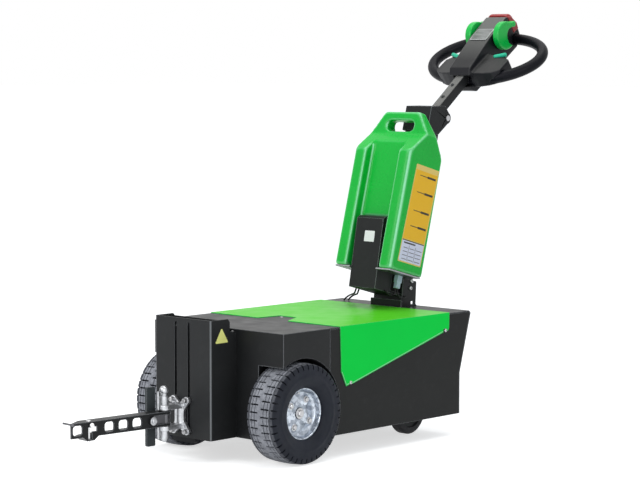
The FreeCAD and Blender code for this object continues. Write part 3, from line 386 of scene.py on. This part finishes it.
for label, colour, drift, rough in (
    ("label_yellow", (240, 186, 12), 0.04, 0.4), ("label_lemon", (255, 255, 150), 0.04, 0.4),
    ("label_cream", (232, 204, 112), 0.03, 0.4), ("label_pale", (216, 218, 240), 0.05, 0.4),
    ("label_white", (240, 238, 240), 0.03, 0.4), ("label_ink", (38, 34, 20), 0.14, 0.5),
):
    EXTRA[label] = painted(label, linear(*colour), rough, grain=200.0, relief=0.00002, spread=drift)


# ------------------------------------------------------------------ mesh building
def sharpen(mesh, degrees=32.0):
    """Smooth faces, with hard edges where two of them meet at more than this angle."""
    work = bmesh.new()
    work.from_mesh(mesh)
    bmesh.ops.recalc_face_normals(work, faces=work.faces)
    limit = math.radians(degrees)
    for face in work.faces:
        face.smooth = True
    for edge in work.edges:
        edge.smooth = len(edge.link_faces) == 2 and edge.calc_face_angle(0) < limit
    work.to_mesh(mesh)
    work.free()


def piece(name, points, faces, body, finish, base=MACHINE, centre=None, bevel=0.0, degrees=32.0):
    """A mesh object that rides on a body.  The points are in the helper frame named base, and the object's
    own origin is at centre, in metres."""
    world = [base @ Vector(p) for p in points]
    if centre is not None:
        world = [p - centre for p in world]
    mesh = bpy.data.meshes.new(name)
    mesh.from_pydata(world, [], faces)
    mesh.validate()
    sharpen(mesh, degrees)
    mesh.materials.append(MATERIALS.get(finish) or EXTRA[finish])
    thing = bpy.data.objects.new(name, mesh)
    if centre is not None:
        thing.location = centre
    bpy.context.scene.collection.objects.link(thing)
    if bevel:
        add_bevel(thing, bevel)
    bpy.context.view_layer.update()
    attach(thing, body)
    return thing


def add_weld(thing):
    join = thing.modifiers.new("weld", "WELD")
    join.merge_threshold = 0.00002


def add_bevel(thing, width):
    """Rounds the sharp edges by a width in metres."""
    round_off = thing.modifiers.new("edges", "BEVEL")
    round_off.width = width
    round_off.segments = 2
    round_off.limit_method = "ANGLE"
    round_off.angle_limit = math.radians(38)
    round_off.use_clamp_overlap = True
    even = thing.modifiers.new("even", "WEIGHTED_NORMAL")
    even.keep_sharp = False
    even.weight = 80


def ring_faces(rows, count, joined=False):
    """Quads between rows of points, each row a closed ring.  If joined, the last row meets the first."""
    faces = []
    for row in range(rows if joined else rows - 1):
        low = row * count
        high = (row + 1) % rows * count
        for k in range(count):
            after = (k + 1) % count
            faces.append((low + k, low + after, high + after, high + k))
    return faces


def polygon_radius(radius, angle, sides):
    """Distance from the axis to the side of a polygon whose corners are at a radius."""
    half = math.pi / sides
    return radius * math.cos(half) / math.cos((angle % (2 * half)) - half)


def lathe(profile, count=48, sides=None):
    """A turned shape from (height, radius) pairs, with a flat face at each end, or a prism of some sides."""
    points = []
    for height, radius in profile:
        for k in range(count):
            angle = 2 * math.pi * k / count
            r = polygon_radius(radius, angle, sides) if sides and radius > 0 else radius
            points.append((r * math.cos(angle), r * math.sin(angle), height))
    faces = ring_faces(len(profile), count)
    faces.append(tuple(range(count))[::-1])
    last = (len(profile) - 1) * count
    faces.append(tuple(last + k for k in range(count)))
    return points, faces


def join_parts(parts):
    """One (points, faces) from several, each with its own matrix."""
    points = []
    faces = []
    for (more, more_faces), matrix in parts:
        start = len(points)
        points += [matrix @ Vector(p) for p in more]
        faces += [tuple(start + i for i in face) for face in more_faces]
    return points, faces


def hex_head(radius, height, washer=True):
    """A chamfered hexagon on a washer, standing on Z = 0."""
    parts = []
    base = 0.0
    if washer:
        base = 1.2
        ring = [(0, radius * 1.45), (base * 0.8, radius * 1.45), (base, radius * 1.35)]
        parts.append((lathe(ring, 32), IDENTITY))
    top = base + height
    head = [(base, radius), (base + height * 0.82, radius), (top, radius * 0.86), (top, radius * 0.5)]
    parts.append((lathe(head, 36, sides=6), IDENTITY))
    return join_parts(parts)


def cap_head(radius, height):
    """A round socket-head screw with a hexagonal recess."""
    count = 36
    outer = [(0, radius), (height * 0.6, radius), (height * 0.9, radius * 0.82), (height, radius * 0.58)]
    points, faces = lathe(outer, count)
    faces.pop()
    top = len(points) - count
    mouth = []
    bottom = []
    for k in range(count):
        angle = 2 * math.pi * k / count
        r = polygon_radius(radius * 0.46, angle, 6)
        mouth.append((r * math.cos(angle), r * math.sin(angle), height))
        bottom.append((r * math.cos(angle), r * math.sin(angle), height * 0.45))
    start = len(points)
    points += mouth + bottom
    for k in range(count):
        after = (k + 1) % count
        faces.append((top + k, top + after, start + after, start + k))
        faces.append((start + k, start + after, start + count + after, start + count + k))
    faces.append(tuple(start + count + k for k in range(count)))
    return points, faces


def slab(outline, thickness):
    """A flat plate in XY with the given thickness along Z."""
    count = len(outline)
    points = [(x, y, 0.0) for x, y in outline] + [(x, y, thickness) for x, y in outline]
    faces = [tuple(range(count))[::-1], tuple(range(count, 2 * count))]
    for k in range(count):
        after = (k + 1) % count
        faces.append((k, after, count + after, count + k))
    return points, faces


def rounded(outline, radius, steps=5):
    """The polygon with each corner turned into an arc."""
    out = []
    count = len(outline)
    for k in range(count):
        corner = Vector(outline[k])
        back = (Vector(outline[k - 1]) - corner).normalized()
        ahead = (Vector(outline[(k + 1) % count]) - corner).normalized()
        angle = back.angle(ahead)
        reach = radius / math.tan(angle / 2)
        centre = corner + (back + ahead).normalized() * (radius / math.sin(angle / 2))
        start = corner + back * reach - centre
        end = corner + ahead * reach - centre
        for step in range(steps + 1):
            ray = start.lerp(end, step / steps).normalized() * radius
            out.append(tuple(centre + ray))
    return out


def rectangle(x0, x1, y0, y1):
    return [(x0, y0), (x1, y0), (x1, y1), (x0, y1)]


def softened(node, voxel, rounds, body, finish):
    """A copy of a CAD node with moulded or cast edges, which stands for it: remeshed, then smoothed."""
    thing = bpy.data.objects.new(node + "_moulded", NODES[node].data.copy())
    bpy.context.scene.collection.objects.link(thing)
    add_weld(thing)
    fill = thing.modifiers.new("fill", "REMESH")
    fill.mode = "VOXEL"
    fill.voxel_size = voxel
    ease = thing.modifiers.new("ease", "SMOOTH")
    ease.factor = 0.5
    ease.iterations = rounds
    graph = bpy.context.evaluated_depsgraph_get()
    mesh = bpy.data.meshes.new_from_object(thing.evaluated_get(graph))
    thing.modifiers.clear()
    thing.data = mesh
    mesh.polygons.foreach_set("use_smooth", [True] * len(mesh.polygons))
    mesh.materials.clear()
    mesh.materials.append(MATERIALS.get(finish) or EXTRA[finish])
    mesh.update()
    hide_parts(node)
    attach(thing, body)
    return thing


# ------------------------------------------------------------------ CAD nodes: materials and edges
for item in frame["record"]["subparts"]:
    thing = NODES[item["node"]]
    finish = MATERIALS[item["material_slot"]]
    if not thing.material_slots:
        thing.data.materials.append(finish)
    for slot in thing.material_slots:
        slot.material = finish

# width of the rounding of each node's edges, in metres
for node, width in (
    ("front_housing", 0.0014), ("left_side_panel", 0.0009), ("right_side_panel", 0.0009),
    ("rear_panel", 0.0012), ("deck_cover", 0.0009), ("hitch_tower", 0.0010), ("mast_base", 0.0010),
    ("mast_column", 0.0016), ("mast_head", 0.0018), ("battery_dock", 0.0022), ("drawbar", 0.0007),
    ("drawbar_upright", 0.0010), ("tiller_tube", 0.0006), ("hitch_carriage", 0.0010),
    ("base_plate", 0.0008), ("castor_beam", 0.0010), ("battery_tray", 0.0008),
    ("battery_connector", 0.0010), ("drawbar_block", 0.0008), ("drive_unit", 0.0030),
):
    add_weld(NODES[node])
    add_bevel(NODES[node], width)

softened("battery_pack", 0.0036, 14, "chassis", "green_plastic")
softened("tiller_head", 0.0016, 16, "tiller", "head_black")
softened("horn_buttons", 0.0010, 6, "tiller", "button_green")
softened("tiller_neck", 0.0012, 8, "tiller", "head_black")
softened("belly_button", 0.0012, 8, "tiller", "button_red")
softened("drive_wings", 0.0013, 36, "tiller", "wing_green_glint")
softened("hitch_bracket", 0.0010, 6, "hitch", "chrome_cast")

for node, finish in (("drawbar_block", "dark_steel"), ("drawbar_upright", "upright_grey"),
                     ("tiller_tube", "tube_black_sheen"), ("hitch_tower", "tower_black_gleam"),
                     ("left_side_panel", "panel_black_shaded"), ("right_side_panel", "panel_black_shaded"),
                     ("drawbar_end_pin", "bright_steel")):
    NODES[node].material_slots[0].material = EXTRA[finish]


# ------------------------------------------------------------------ wheels
PITCHES = 40
CROWN_R = 129.9
CROWN_HALF = 41            # the nearly flat middle of the tread, from the tyre's centre plane
CROWN_DROP = 2.2
SHOULDER_WIDTH = 6
SHOULDER_DROP = 6.5
GROOVES = ((14.0, 16.0), (25.0, 27.0), (34.0, 36.0))
GROOVE_DEPTH = 4.2
SLOT_START, SLOT_END = 5.0, 32.0
SHOULDER_SLOT_START = 38
SLOT_DEPTH = 6.0
SLOT_HALF = 0.1            # of a pitch
WALL_HALF = 0.1            # half of what a groove's wall or a slot's end takes up across the tread
SLOT_WALL_HALF = 0.004     # the same for a slot's long wall, of a pitch
BOLT_CIRCLE = 40.5
# the side wall, as (distance from the centre plane, radius)
TREAD_SIDE = [(37, 67), (41.5, 70), (45.2, 75), (47.0, 79), (48.2, 87), (48.4, 92), (48.9, 93.2), (48.9, 98),
              (48.4, 99), (48.3, 106), (47.9, 113)]


def crown(y):
    """Radius of the outer surface at a place across the tread."""
    a = abs(y)
    if a <= CROWN_HALF:
        return CROWN_R - CROWN_DROP * (a / CROWN_HALF) ** 2
    return CROWN_R - CROWN_DROP - SHOULDER_DROP * ((a - CROWN_HALF) / SHOULDER_WIDTH) ** 1.8


def groove(angle, y):
    """Depth of the tread pattern at an angle in pitches and a place across the tread."""
    a = abs(y)
    phase = angle % 1.0 if y > 0 else (angle + 0.5) % 1.0
    if abs(phase - 0.5) < SLOT_HALF and (SLOT_START <= a <= SLOT_END or a > SHOULDER_SLOT_START):
        return SLOT_DEPTH
    if any(start <= a <= end for start, end in GROOVES):
        return GROOVE_DEPTH
    return 0.0


def tyre(side):
    """A tread whose blocks are cut by slots, half a pitch apart on its two sides, and by running grooves."""
    # places round a pitch: a pair close together at each wall of a slot, on either side of the tread
    walls = set()
    for mark in (0.5 - SLOT_HALF, 0.5 + SLOT_HALF):
        for other in (mark, (mark + 0.5) % 1.0):
            walls.add(round(other - SLOT_WALL_HALF, 4))
            walls.add(round(other + SLOT_WALL_HALF, 4))
    steps = sorted(walls | {0.0, 0.25, 0.5, 0.75})
    # places across the tread: a pair at each wall of a groove and at each end of a slot
    ends = [edge for pair in GROOVES for edge in pair] + [SLOT_START, SLOT_END, SHOULDER_SLOT_START]
    pairs = {round(end + half, 1) for end in ends for half in (-WALL_HALF, WALL_HALF)}
    across = sorted(pairs | {0, 2.5, 9, 20, CROWN_HALF, 43, 45, 46.3, CROWN_HALF + SHOULDER_WIDTH})
    line = [(y, r, False) for y, r in TREAD_SIDE]
    line += [(y, crown(y), True) for y in reversed(across)]
    line += [(-y, crown(y), True) for y in across[1:]]
    line += [(-y, r, False) for y, r in reversed(TREAD_SIDE)]
    angles = []
    for pitch in range(PITCHES):
        angles += [pitch + step for step in steps]
    points = []
    for y, radius, tread in line:
        for angle in angles:
            depth = groove(angle, y) if tread else 0.0
            lean = max(0.0, (abs(y) - 39) / 8) * 0.8
            r = radius - depth * (1 - 0.4 * lean)
            across_y = y - math.copysign(depth * lean, y)
            theta = 2 * math.pi * angle / PITCHES
            points.append((r * math.cos(theta), across_y, r * math.sin(theta)))
    faces = ring_faces(len(line), len(angles), joined=True)
    name = SIDE_NAMES[side]
    place = MACHINE @ shift(0, side * WHEEL_Y, AXLE_HEIGHT) @ turn(3.0, "Y")
    made = piece(name + "_tread_tyre", points, faces, name + "_drive_wheel", "tyre_rubber", base=place,
                 centre=place.translation, degrees=28)
    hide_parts(name + "_tyre")


def smooth_step(value, low, high):
    """0 below low, 1 above high, and a soft rise between them."""
    t = min(1.0, max(0.0, (value - low) / (high - low)))
    return t * t * (3 - 2 * t)


def mirrored(side):
    """Turns what is made for the right side round to the left."""
    return IDENTITY if side > 0 else turn(180, "Z")


def rim(side):
    """A pressed disc with four bolted pads inside a rolled rim, as (distance out along the axle, radius)."""
    outside = [(-32.5, 66.7), (31.6, 66.7), (33.0, 66.2), (33.4, 64.8), (33.0, 63.2), (31.4, 62.0),
               (27.0, 61.2), (21.0, 60.0), (17.6, 58.0), (15.4, 54.6), (14.6, 50.0), (15.0, 46.0),
               (15.8, 42.0), (16.8, 36.0), (18.0, 31.0), (18.8, 27.5), (19.0, 24.0), (19.0, 19.0),
               (18.6, 16.0), (17.6, 15.2), (17.6, 12.7)]
    inside = [(-29.6, 12.7), (-29.6, 21.0), (5.0, 25.0), (7.0, 52.0), (-29.0, 58.0), (-32.5, 62.0)]
    bolt_angles = [(0.5 + q) * math.pi / 2 for q in range(4)]
    count = 120
    points = []
    for y, radius in outside + inside:
        for k in range(count):
            theta = 2 * math.pi * k / count
            pad = 0.0
            if 28 < radius < 55 and y > 14:
                away = min(abs((theta - bolt + math.pi) % (2 * math.pi) - math.pi) for bolt in bolt_angles)
                pad = 5.0 * (1 - smooth_step(away * radius, 8.5, 15.5)) * smooth_step(radius, 28, 34)
                pad *= 1 - smooth_step(radius, 46, 53)
            points.append((radius * math.cos(theta), y + pad, radius * math.sin(theta)))
    faces = ring_faces(len(outside) + len(inside), count, joined=True)
    place = shift(0, side * WHEEL_Y, AXLE_HEIGHT) @ mirrored(side) @ turn(12, "Y")
    name = SIDE_NAMES[side]
    made = piece(name + "_pressed_rim", points, faces, name + "_drive_wheel", "zinc", base=MACHINE @ place,
                 degrees=40)
    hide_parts(name + "_rim")
    bolts = []
    for q, theta in enumerate(bolt_angles):
        at = (BOLT_CIRCLE * math.cos(theta), 20.8, BOLT_CIRCLE * math.sin(theta))
        bolts.append((hex_head(6.2, 4.5), place @ facing((0, 1, 0), at, IDENTITY, 17 * q)))
    valve = lathe([(0, 3.4), (9, 3.2), (10, 2.6), (16, 2.5), (16.4, 1.6)], 20)
    bolts.append((valve, place @ facing((0.15, 0.95, 0.3), (0, 15, 52), IDENTITY)))
    points, faces = join_parts(bolts)
    piece(name + "_rim_bolts", points, faces, name + "_drive_wheel", "steel", degrees=25)


def axle(side):
    """The stub shaft with its washer and nut."""
    name = SIDE_NAMES[side]
    place = shift(0, 0, AXLE_HEIGHT) @ mirrored(side)
    shaft = [(133.2, 17.3), (166.8, 17.3), (167.0, 12.4), (223.6, 12.4), (224.0, 12.0)]
    washer = lathe([(0, 6.0), (0.9, 12.0), (1.0, 14.3), (2.6, 14.3), (3.0, 13.8)], 40)
    parts = [(lathe(shaft, 48), place @ facing((0, 1, 0), (0, 0, 0), IDENTITY)),
             (washer, place @ facing((0, 1, 0), (0, 223.5, 0), IDENTITY)),
             (hex_head(8.6, 5.4, washer=False), place @ facing((0, 1, 0), (0, 226.4, 0), IDENTITY, 10))]
    points, faces = join_parts(parts)
    made = piece(name + "_stub_axle", points, faces, "chassis", "steel", degrees=28)
    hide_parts(name + "_axle")


for side in (-1, 1):
    tyre(side)
    rim(side)
    axle(side)


# ------------------------------------------------------------------ fasteners and fittings
def fasteners(name, items, body, finish="steel"):
    """Small parts on one body as one mesh.  Each item is a shape and its matrix."""
    points, faces = join_parts(items)
    piece(name, points, faces, body, finish, base=IDENTITY, degrees=25)


cover_screws = []
for side in (-1, 1):
    for x, z in ((-180.5, 191.5), (-564.5, 293.5)):
        cover_screws.append((cap_head(4.6, 3.2), facing((0, side, 0), (x, side * BODY_HALF, z))))
cover_screws.append((cap_head(4.2, 2.6), facing((0, 0, 1), (-190, -21, 339.5))))
fasteners("cover_screws", cover_screws, "chassis")

# a thin pale strip as a painted highlight along the edge of the cover's side, as pairs of (X, Z) places along
# it with the cover on their left
HEM = (((-553, 291.0), (-188, 190.2)), ((-174, 189.2), (-163.2, 186.6)), ((-160.8, 187.4), (-145, 221.5)))
HEM_WIDTH = 1.7
HEM_SUNK = 0.1
hems = []
for side in (-1, 1):
    for start, end in HEM:
        along = (Vector(end) - Vector(start)).normalized() * HEM_WIDTH
        inward = Vector((-along.y, along.x))
        outline = [start, end, tuple(Vector(end) + inward), tuple(Vector(start) + inward)]
        points, faces = slab(outline, 0.3)
        placed = [(x, side * (COVER_HALF - HEM_SUNK + out), z) for x, z, out in points]
        hems.append(((placed, faces), IDENTITY))
points, faces = join_parts(hems)
piece("cover_hem_highlights", points, faces, "chassis", "hem_highlight", degrees=25)

fasteners("mast_foot_screws", [
    (cap_head(5.2, 4.0), facing((0, side, 0), (-19, side * 52.2, c), MAST))
    for side in (-1, 1) for c in (76, 56)
], "chassis")
fasteners("tower_inner_screws", [
    (cap_head(4.6, 3.4), facing((1, 0, 0), (71.0, y, z)))
    for z in (80, 330) for y in (-126, 56)
], "chassis")
fasteners("clamp_bolt_caps", [
    (cap_head(5.6, 2.4), facing((1, 0, 0), (180.3, y, z)))
    for y in (-61, -13) for z in (77, 157)
], "hitch")
fasteners("drawbar_block_bolt", [(hex_head(7.2, 5.2), facing((0, 1, 0), (52, 24.0, 116), BAR))], "drawbar",
          "chrome_cast")

pin_shank = lathe([(0, 1.8), (0.8, 2.6), (40.2, 2.6), (41, 1.8)], 20)
pin_head = lathe([(0, 3.6), (0.6, 4.2), (2.4, 4.2), (3.0, 3.6)], 20)
cross_pin = [(pin_shank, facing((0, 1, 0), (299, -22, 132), BAR)),
             (pin_head, facing((0, 1, 0), (299, 17.2, 132), BAR))]
fasteners("drawbar_cross_pin", cross_pin, "drawbar", "dark_steel")
fasteners("tube_bolts", [
    (cap_head(5.0, 3.2), facing((0, 0, -1), (along, 0, -24), TUBE))
    for along in (66, 120)
], "tiller", "motor_grey")


# ------------------------------------------------------------------ blank labels and plates
CASE_SIDE = 104.2
LABEL_T = 0.3
LABEL_FOOT = 111
LABEL_LEAN = 10 / 275


def label_place(a, c, out):
    """A place in the mast frame on the battery case's side, where the labels are a little aslant."""
    return (a + 5 - (c - LABEL_FOOT) * LABEL_LEAN, CASE_SIDE + out, c)


def side_label(name, outline, lift, finish):
    points, faces = slab(outline, LABEL_T)
    placed = [label_place(x, y, lift + z) for x, y, z in points]
    piece(name, placed, faces, "chassis", finish, base=MAST)


side_label("case_label_border", rounded(rectangle(12, 111, 111, 386), 3), 0.4, "label_cream")
side_label("case_label_panel", rounded(rectangle(15, 108, 176, 371), 1.5), 0.65, "label_yellow")
side_label("case_label_block", rounded(rectangle(15, 108, 114.5, 173), 1.5), 0.65, "label_pale")

# plain bars and rules in the place of the printing, as (a from, a to, c from, c to)
marks = []
for c in (358, 311, 259, 215):
    for a0, a1, half in ((20, 56, 3.0), (56, 88, 1.1)):
        marks.append((a0, a1, c - half, c + half))
marks.append((15, 108, 171.5, 174))
marks.append((50, 100, 164, 168))
for row in range(4):
    for a0, a1 in ((20, 44), (50, 72), (78, 98)):
        marks.append((a0, a1, 120 + 10.5 * row, 121.6 + 10.5 * row))
for a in (47, 75):
    marks.append((a - 0.6, a + 0.6, 118, 160))
rules = []
for a0, a1, c0, c1 in marks:
    points, faces = slab(rectangle(a0, a1, c0, c1), 0.2)
    rules.append((([label_place(x, y, 0.85 + z) for x, y, z in points], faces), IDENTITY))
points, faces = join_parts(rules)
piece("case_label_rules", points, faces, "chassis", "label_ink", base=MAST)

# the holder's front leans out by 15 mm over a height of 193 mm
HOLDER_FRONT = 124
HOLDER_FOOT = 27
HOLDER_LEAN = 15 / 193
points, faces = slab(rounded(rectangle(-13, 23, 155, 185), 1.5), LABEL_T)
placed = [(HOLDER_FRONT + HOLDER_LEAN * (c - HOLDER_FOOT) + 0.05 + out, y, c) for y, c, out in points]
piece("holder_label", placed, faces, "chassis", "label_white", base=MAST)

TOWER_SIDE = 67.5
points, faces = slab(rounded([(99, 307.5), (146, 307.5), (122.5, 346)], 2.5), LABEL_T)
placed = [(x, TOWER_SIDE + out, z) for x, z, out in points]
piece("tower_sticker", placed, faces, "chassis", "label_lemon")

# the head's top falls by 6 mm over 92 mm under the plate
plate_tilt = math.degrees(math.atan2(6, 92))
plate_frame = HEAD @ shift(-30, 0, 74.35) @ turn(plate_tilt, "Y") @ shift(30, 0, 0)
points, faces = slab(rounded(rectangle(-45, 5, -30, 30), 2.5), 1.2)
piece("head_plate", points, faces, "tiller", "plate_silver", base=plate_frame, bevel=0.0004)
points, faces = slab(rounded(rectangle(-43, 3, -28, 28), 1.8), LABEL_T)
piece("head_plate_panel", points, faces, "tiller", "plate_dark", base=plate_frame @ shift(0, 0, 1.15))


# ------------------------------------------------------------------ stage, light, camera
FLOOR_GLOW = 0.62
FLOOR_TONE = (0.86, 0.86, 0.86)
FLOOR_HEIGHT = -0.0002


def white_stage(name, points, faces):
    """A floor that looks white but keeps a soft shadow."""
    mesh = bpy.data.meshes.new(name)
    mesh.from_pydata(points, [], faces)
    mesh.polygons.foreach_set("use_smooth", [True] * len(mesh.polygons))
    thing = bpy.data.objects.new(name, mesh)
    bpy.context.scene.collection.objects.link(thing)
    material = bpy.data.materials.new(name)
    material.use_nodes = True
    tree = material.node_tree
    tree.nodes.clear()
    matt = tree.nodes.new("ShaderNodeBsdfDiffuse")
    matt.inputs["Color"].default_value = (*FLOOR_TONE, 1.0)
    shine = tree.nodes.new("ShaderNodeEmission")
    seen_by = tree.nodes.new("ShaderNodeLightPath")
    direct = tree.nodes.new("ShaderNodeMath")
    direct.operation = "MAXIMUM"
    level = tree.nodes.new("ShaderNodeMath")
    level.operation = "MULTIPLY"
    level.inputs[1].default_value = FLOOR_GLOW
    together = tree.nodes.new("ShaderNodeAddShader")
    result = tree.nodes.new("ShaderNodeOutputMaterial")
    tree.links.new(seen_by.outputs["Is Camera Ray"], direct.inputs[0])
    tree.links.new(seen_by.outputs["Is Glossy Ray"], direct.inputs[1])
    tree.links.new(direct.outputs[0], level.inputs[0])
    tree.links.new(level.outputs[0], shine.inputs["Strength"])
    tree.links.new(matt.outputs[0], together.inputs[0])
    tree.links.new(shine.outputs[0], together.inputs[1])
    tree.links.new(together.outputs[0], result.inputs["Surface"])
    mesh.materials.append(material)


# three faces in a row, between four places along each side
floor_steps = (-60.0, -10.0, 5.0, 30.0)
floor_points = [(along, across, FLOOR_HEIGHT) for across in (-60.0, 60.0) for along in floor_steps]
floor_faces = [(k, k + 1, k + 5, k + 4) for k in range(3)]
white_stage("floor", floor_points, floor_faces)

# a white background, with a dimmer and cooler fill light
world = bpy.data.worlds.new("studio")
bpy.context.scene.world = world
world.use_nodes = True
tree = world.node_tree
tree.nodes.clear()
output = tree.nodes.new("ShaderNodeOutputWorld")
seen = tree.nodes.new("ShaderNodeBackground")
seen.inputs["Color"].default_value = (1.0, 1.0, 1.0, 1.0)
seen.inputs["Strength"].default_value = 1.0
fill = tree.nodes.new("ShaderNodeBackground")
fill.inputs["Color"].default_value = (0.90, 0.95, 1.0, 1.0)
fill.inputs["Strength"].default_value = 0.55
choose = tree.nodes.new("ShaderNodeMixShader")
path = tree.nodes.new("ShaderNodeLightPath")
bright = tree.nodes.new("ShaderNodeMath")
bright.operation = "MAXIMUM"
tree.links.new(path.outputs["Is Camera Ray"], bright.inputs[0])
tree.links.new(path.outputs["Is Glossy Ray"], bright.inputs[1])
tree.links.new(bright.outputs[0], choose.inputs[0])
tree.links.new(fill.outputs[0], choose.inputs[1])
tree.links.new(seen.outputs[0], choose.inputs[2])
tree.links.new(choose.outputs[0], output.inputs["Surface"])


def soft_lamp(name, place, target, width, height, power, colour=(1.0, 1.0, 1.0), gloss_only=False):
    """A rectangular lamp at a place in metres, aimed at a target."""
    lamp = bpy.data.lights.new(name, "AREA")
    lamp.shape = "RECTANGLE"
    lamp.size = width
    lamp.size_y = height
    lamp.energy = power
    lamp.color = colour
    thing = bpy.data.objects.new(name, lamp)
    thing.location = place
    thing.rotation_euler = (Vector(target) - Vector(place)).to_track_quat("-Z", "Y").to_euler()
    thing.visible_diffuse = not gloss_only
    bpy.context.scene.collection.objects.link(thing)


soft_lamp("overhead", (-0.3, 0.2, 3.4), (0.0, 0.0, 0.3), 3.4, 2.6, 60.0, (1.0, 0.99, 0.96))
soft_lamp("front_left", (3.6, -1.2, 2.2), (0.2, 0.0, 0.4), 1.8, 1.8, 50.0)
soft_lamp("right_side", (-0.6, 4.2, 1.8), (0.0, 0.0, 0.4), 2.2, 1.6, 7.0, (0.95, 0.98, 1.0))
soft_lamp("corner_gleam", (3.6, 3.4, 1.5), (0.0, 0.0, 0.5), 0.9, 1.6, 60.0, gloss_only=True)

# the camera that was worked out from the picture: its focal length in pixels of a picture 640 wide, its place
# from the drive axle, and the directions in which it looks and which it shows to the right
FOCAL_PIXELS = 2243.98
PICTURE_WIDTH = 640.0
SENSOR_WIDTH = 36.0
CAMERA_AT = Vector((4.10992, 4.09937, 1.03059))
LOOK = Vector((-0.73127711, -0.67702721, -0.08287305))
RIGHT = Vector((-0.67943404, 0.73373569, 0.0011528))
ABOVE = RIGHT.cross(LOOK)
camera_data = bpy.data.cameras.new("camera")
camera_data.sensor_width = SENSOR_WIDTH
camera_data.lens = FOCAL_PIXELS * SENSOR_WIDTH / PICTURE_WIDTH
camera_data.clip_end = 200.0
camera = bpy.data.objects.new("camera", camera_data)
camera.matrix_world = Matrix((
    (RIGHT.x, ABOVE.x, -LOOK.x, CAMERA_AT.x + AXLE_X),
    (RIGHT.y, ABOVE.y, -LOOK.y, CAMERA_AT.y),
    (RIGHT.z, ABOVE.z, -LOOK.z, CAMERA_AT.z),
    (0, 0, 0, 1),
))
bpy.context.scene.collection.objects.link(camera)
bpy.context.scene.camera = camera
bpy.context.scene.view_settings.view_transform = "Standard"
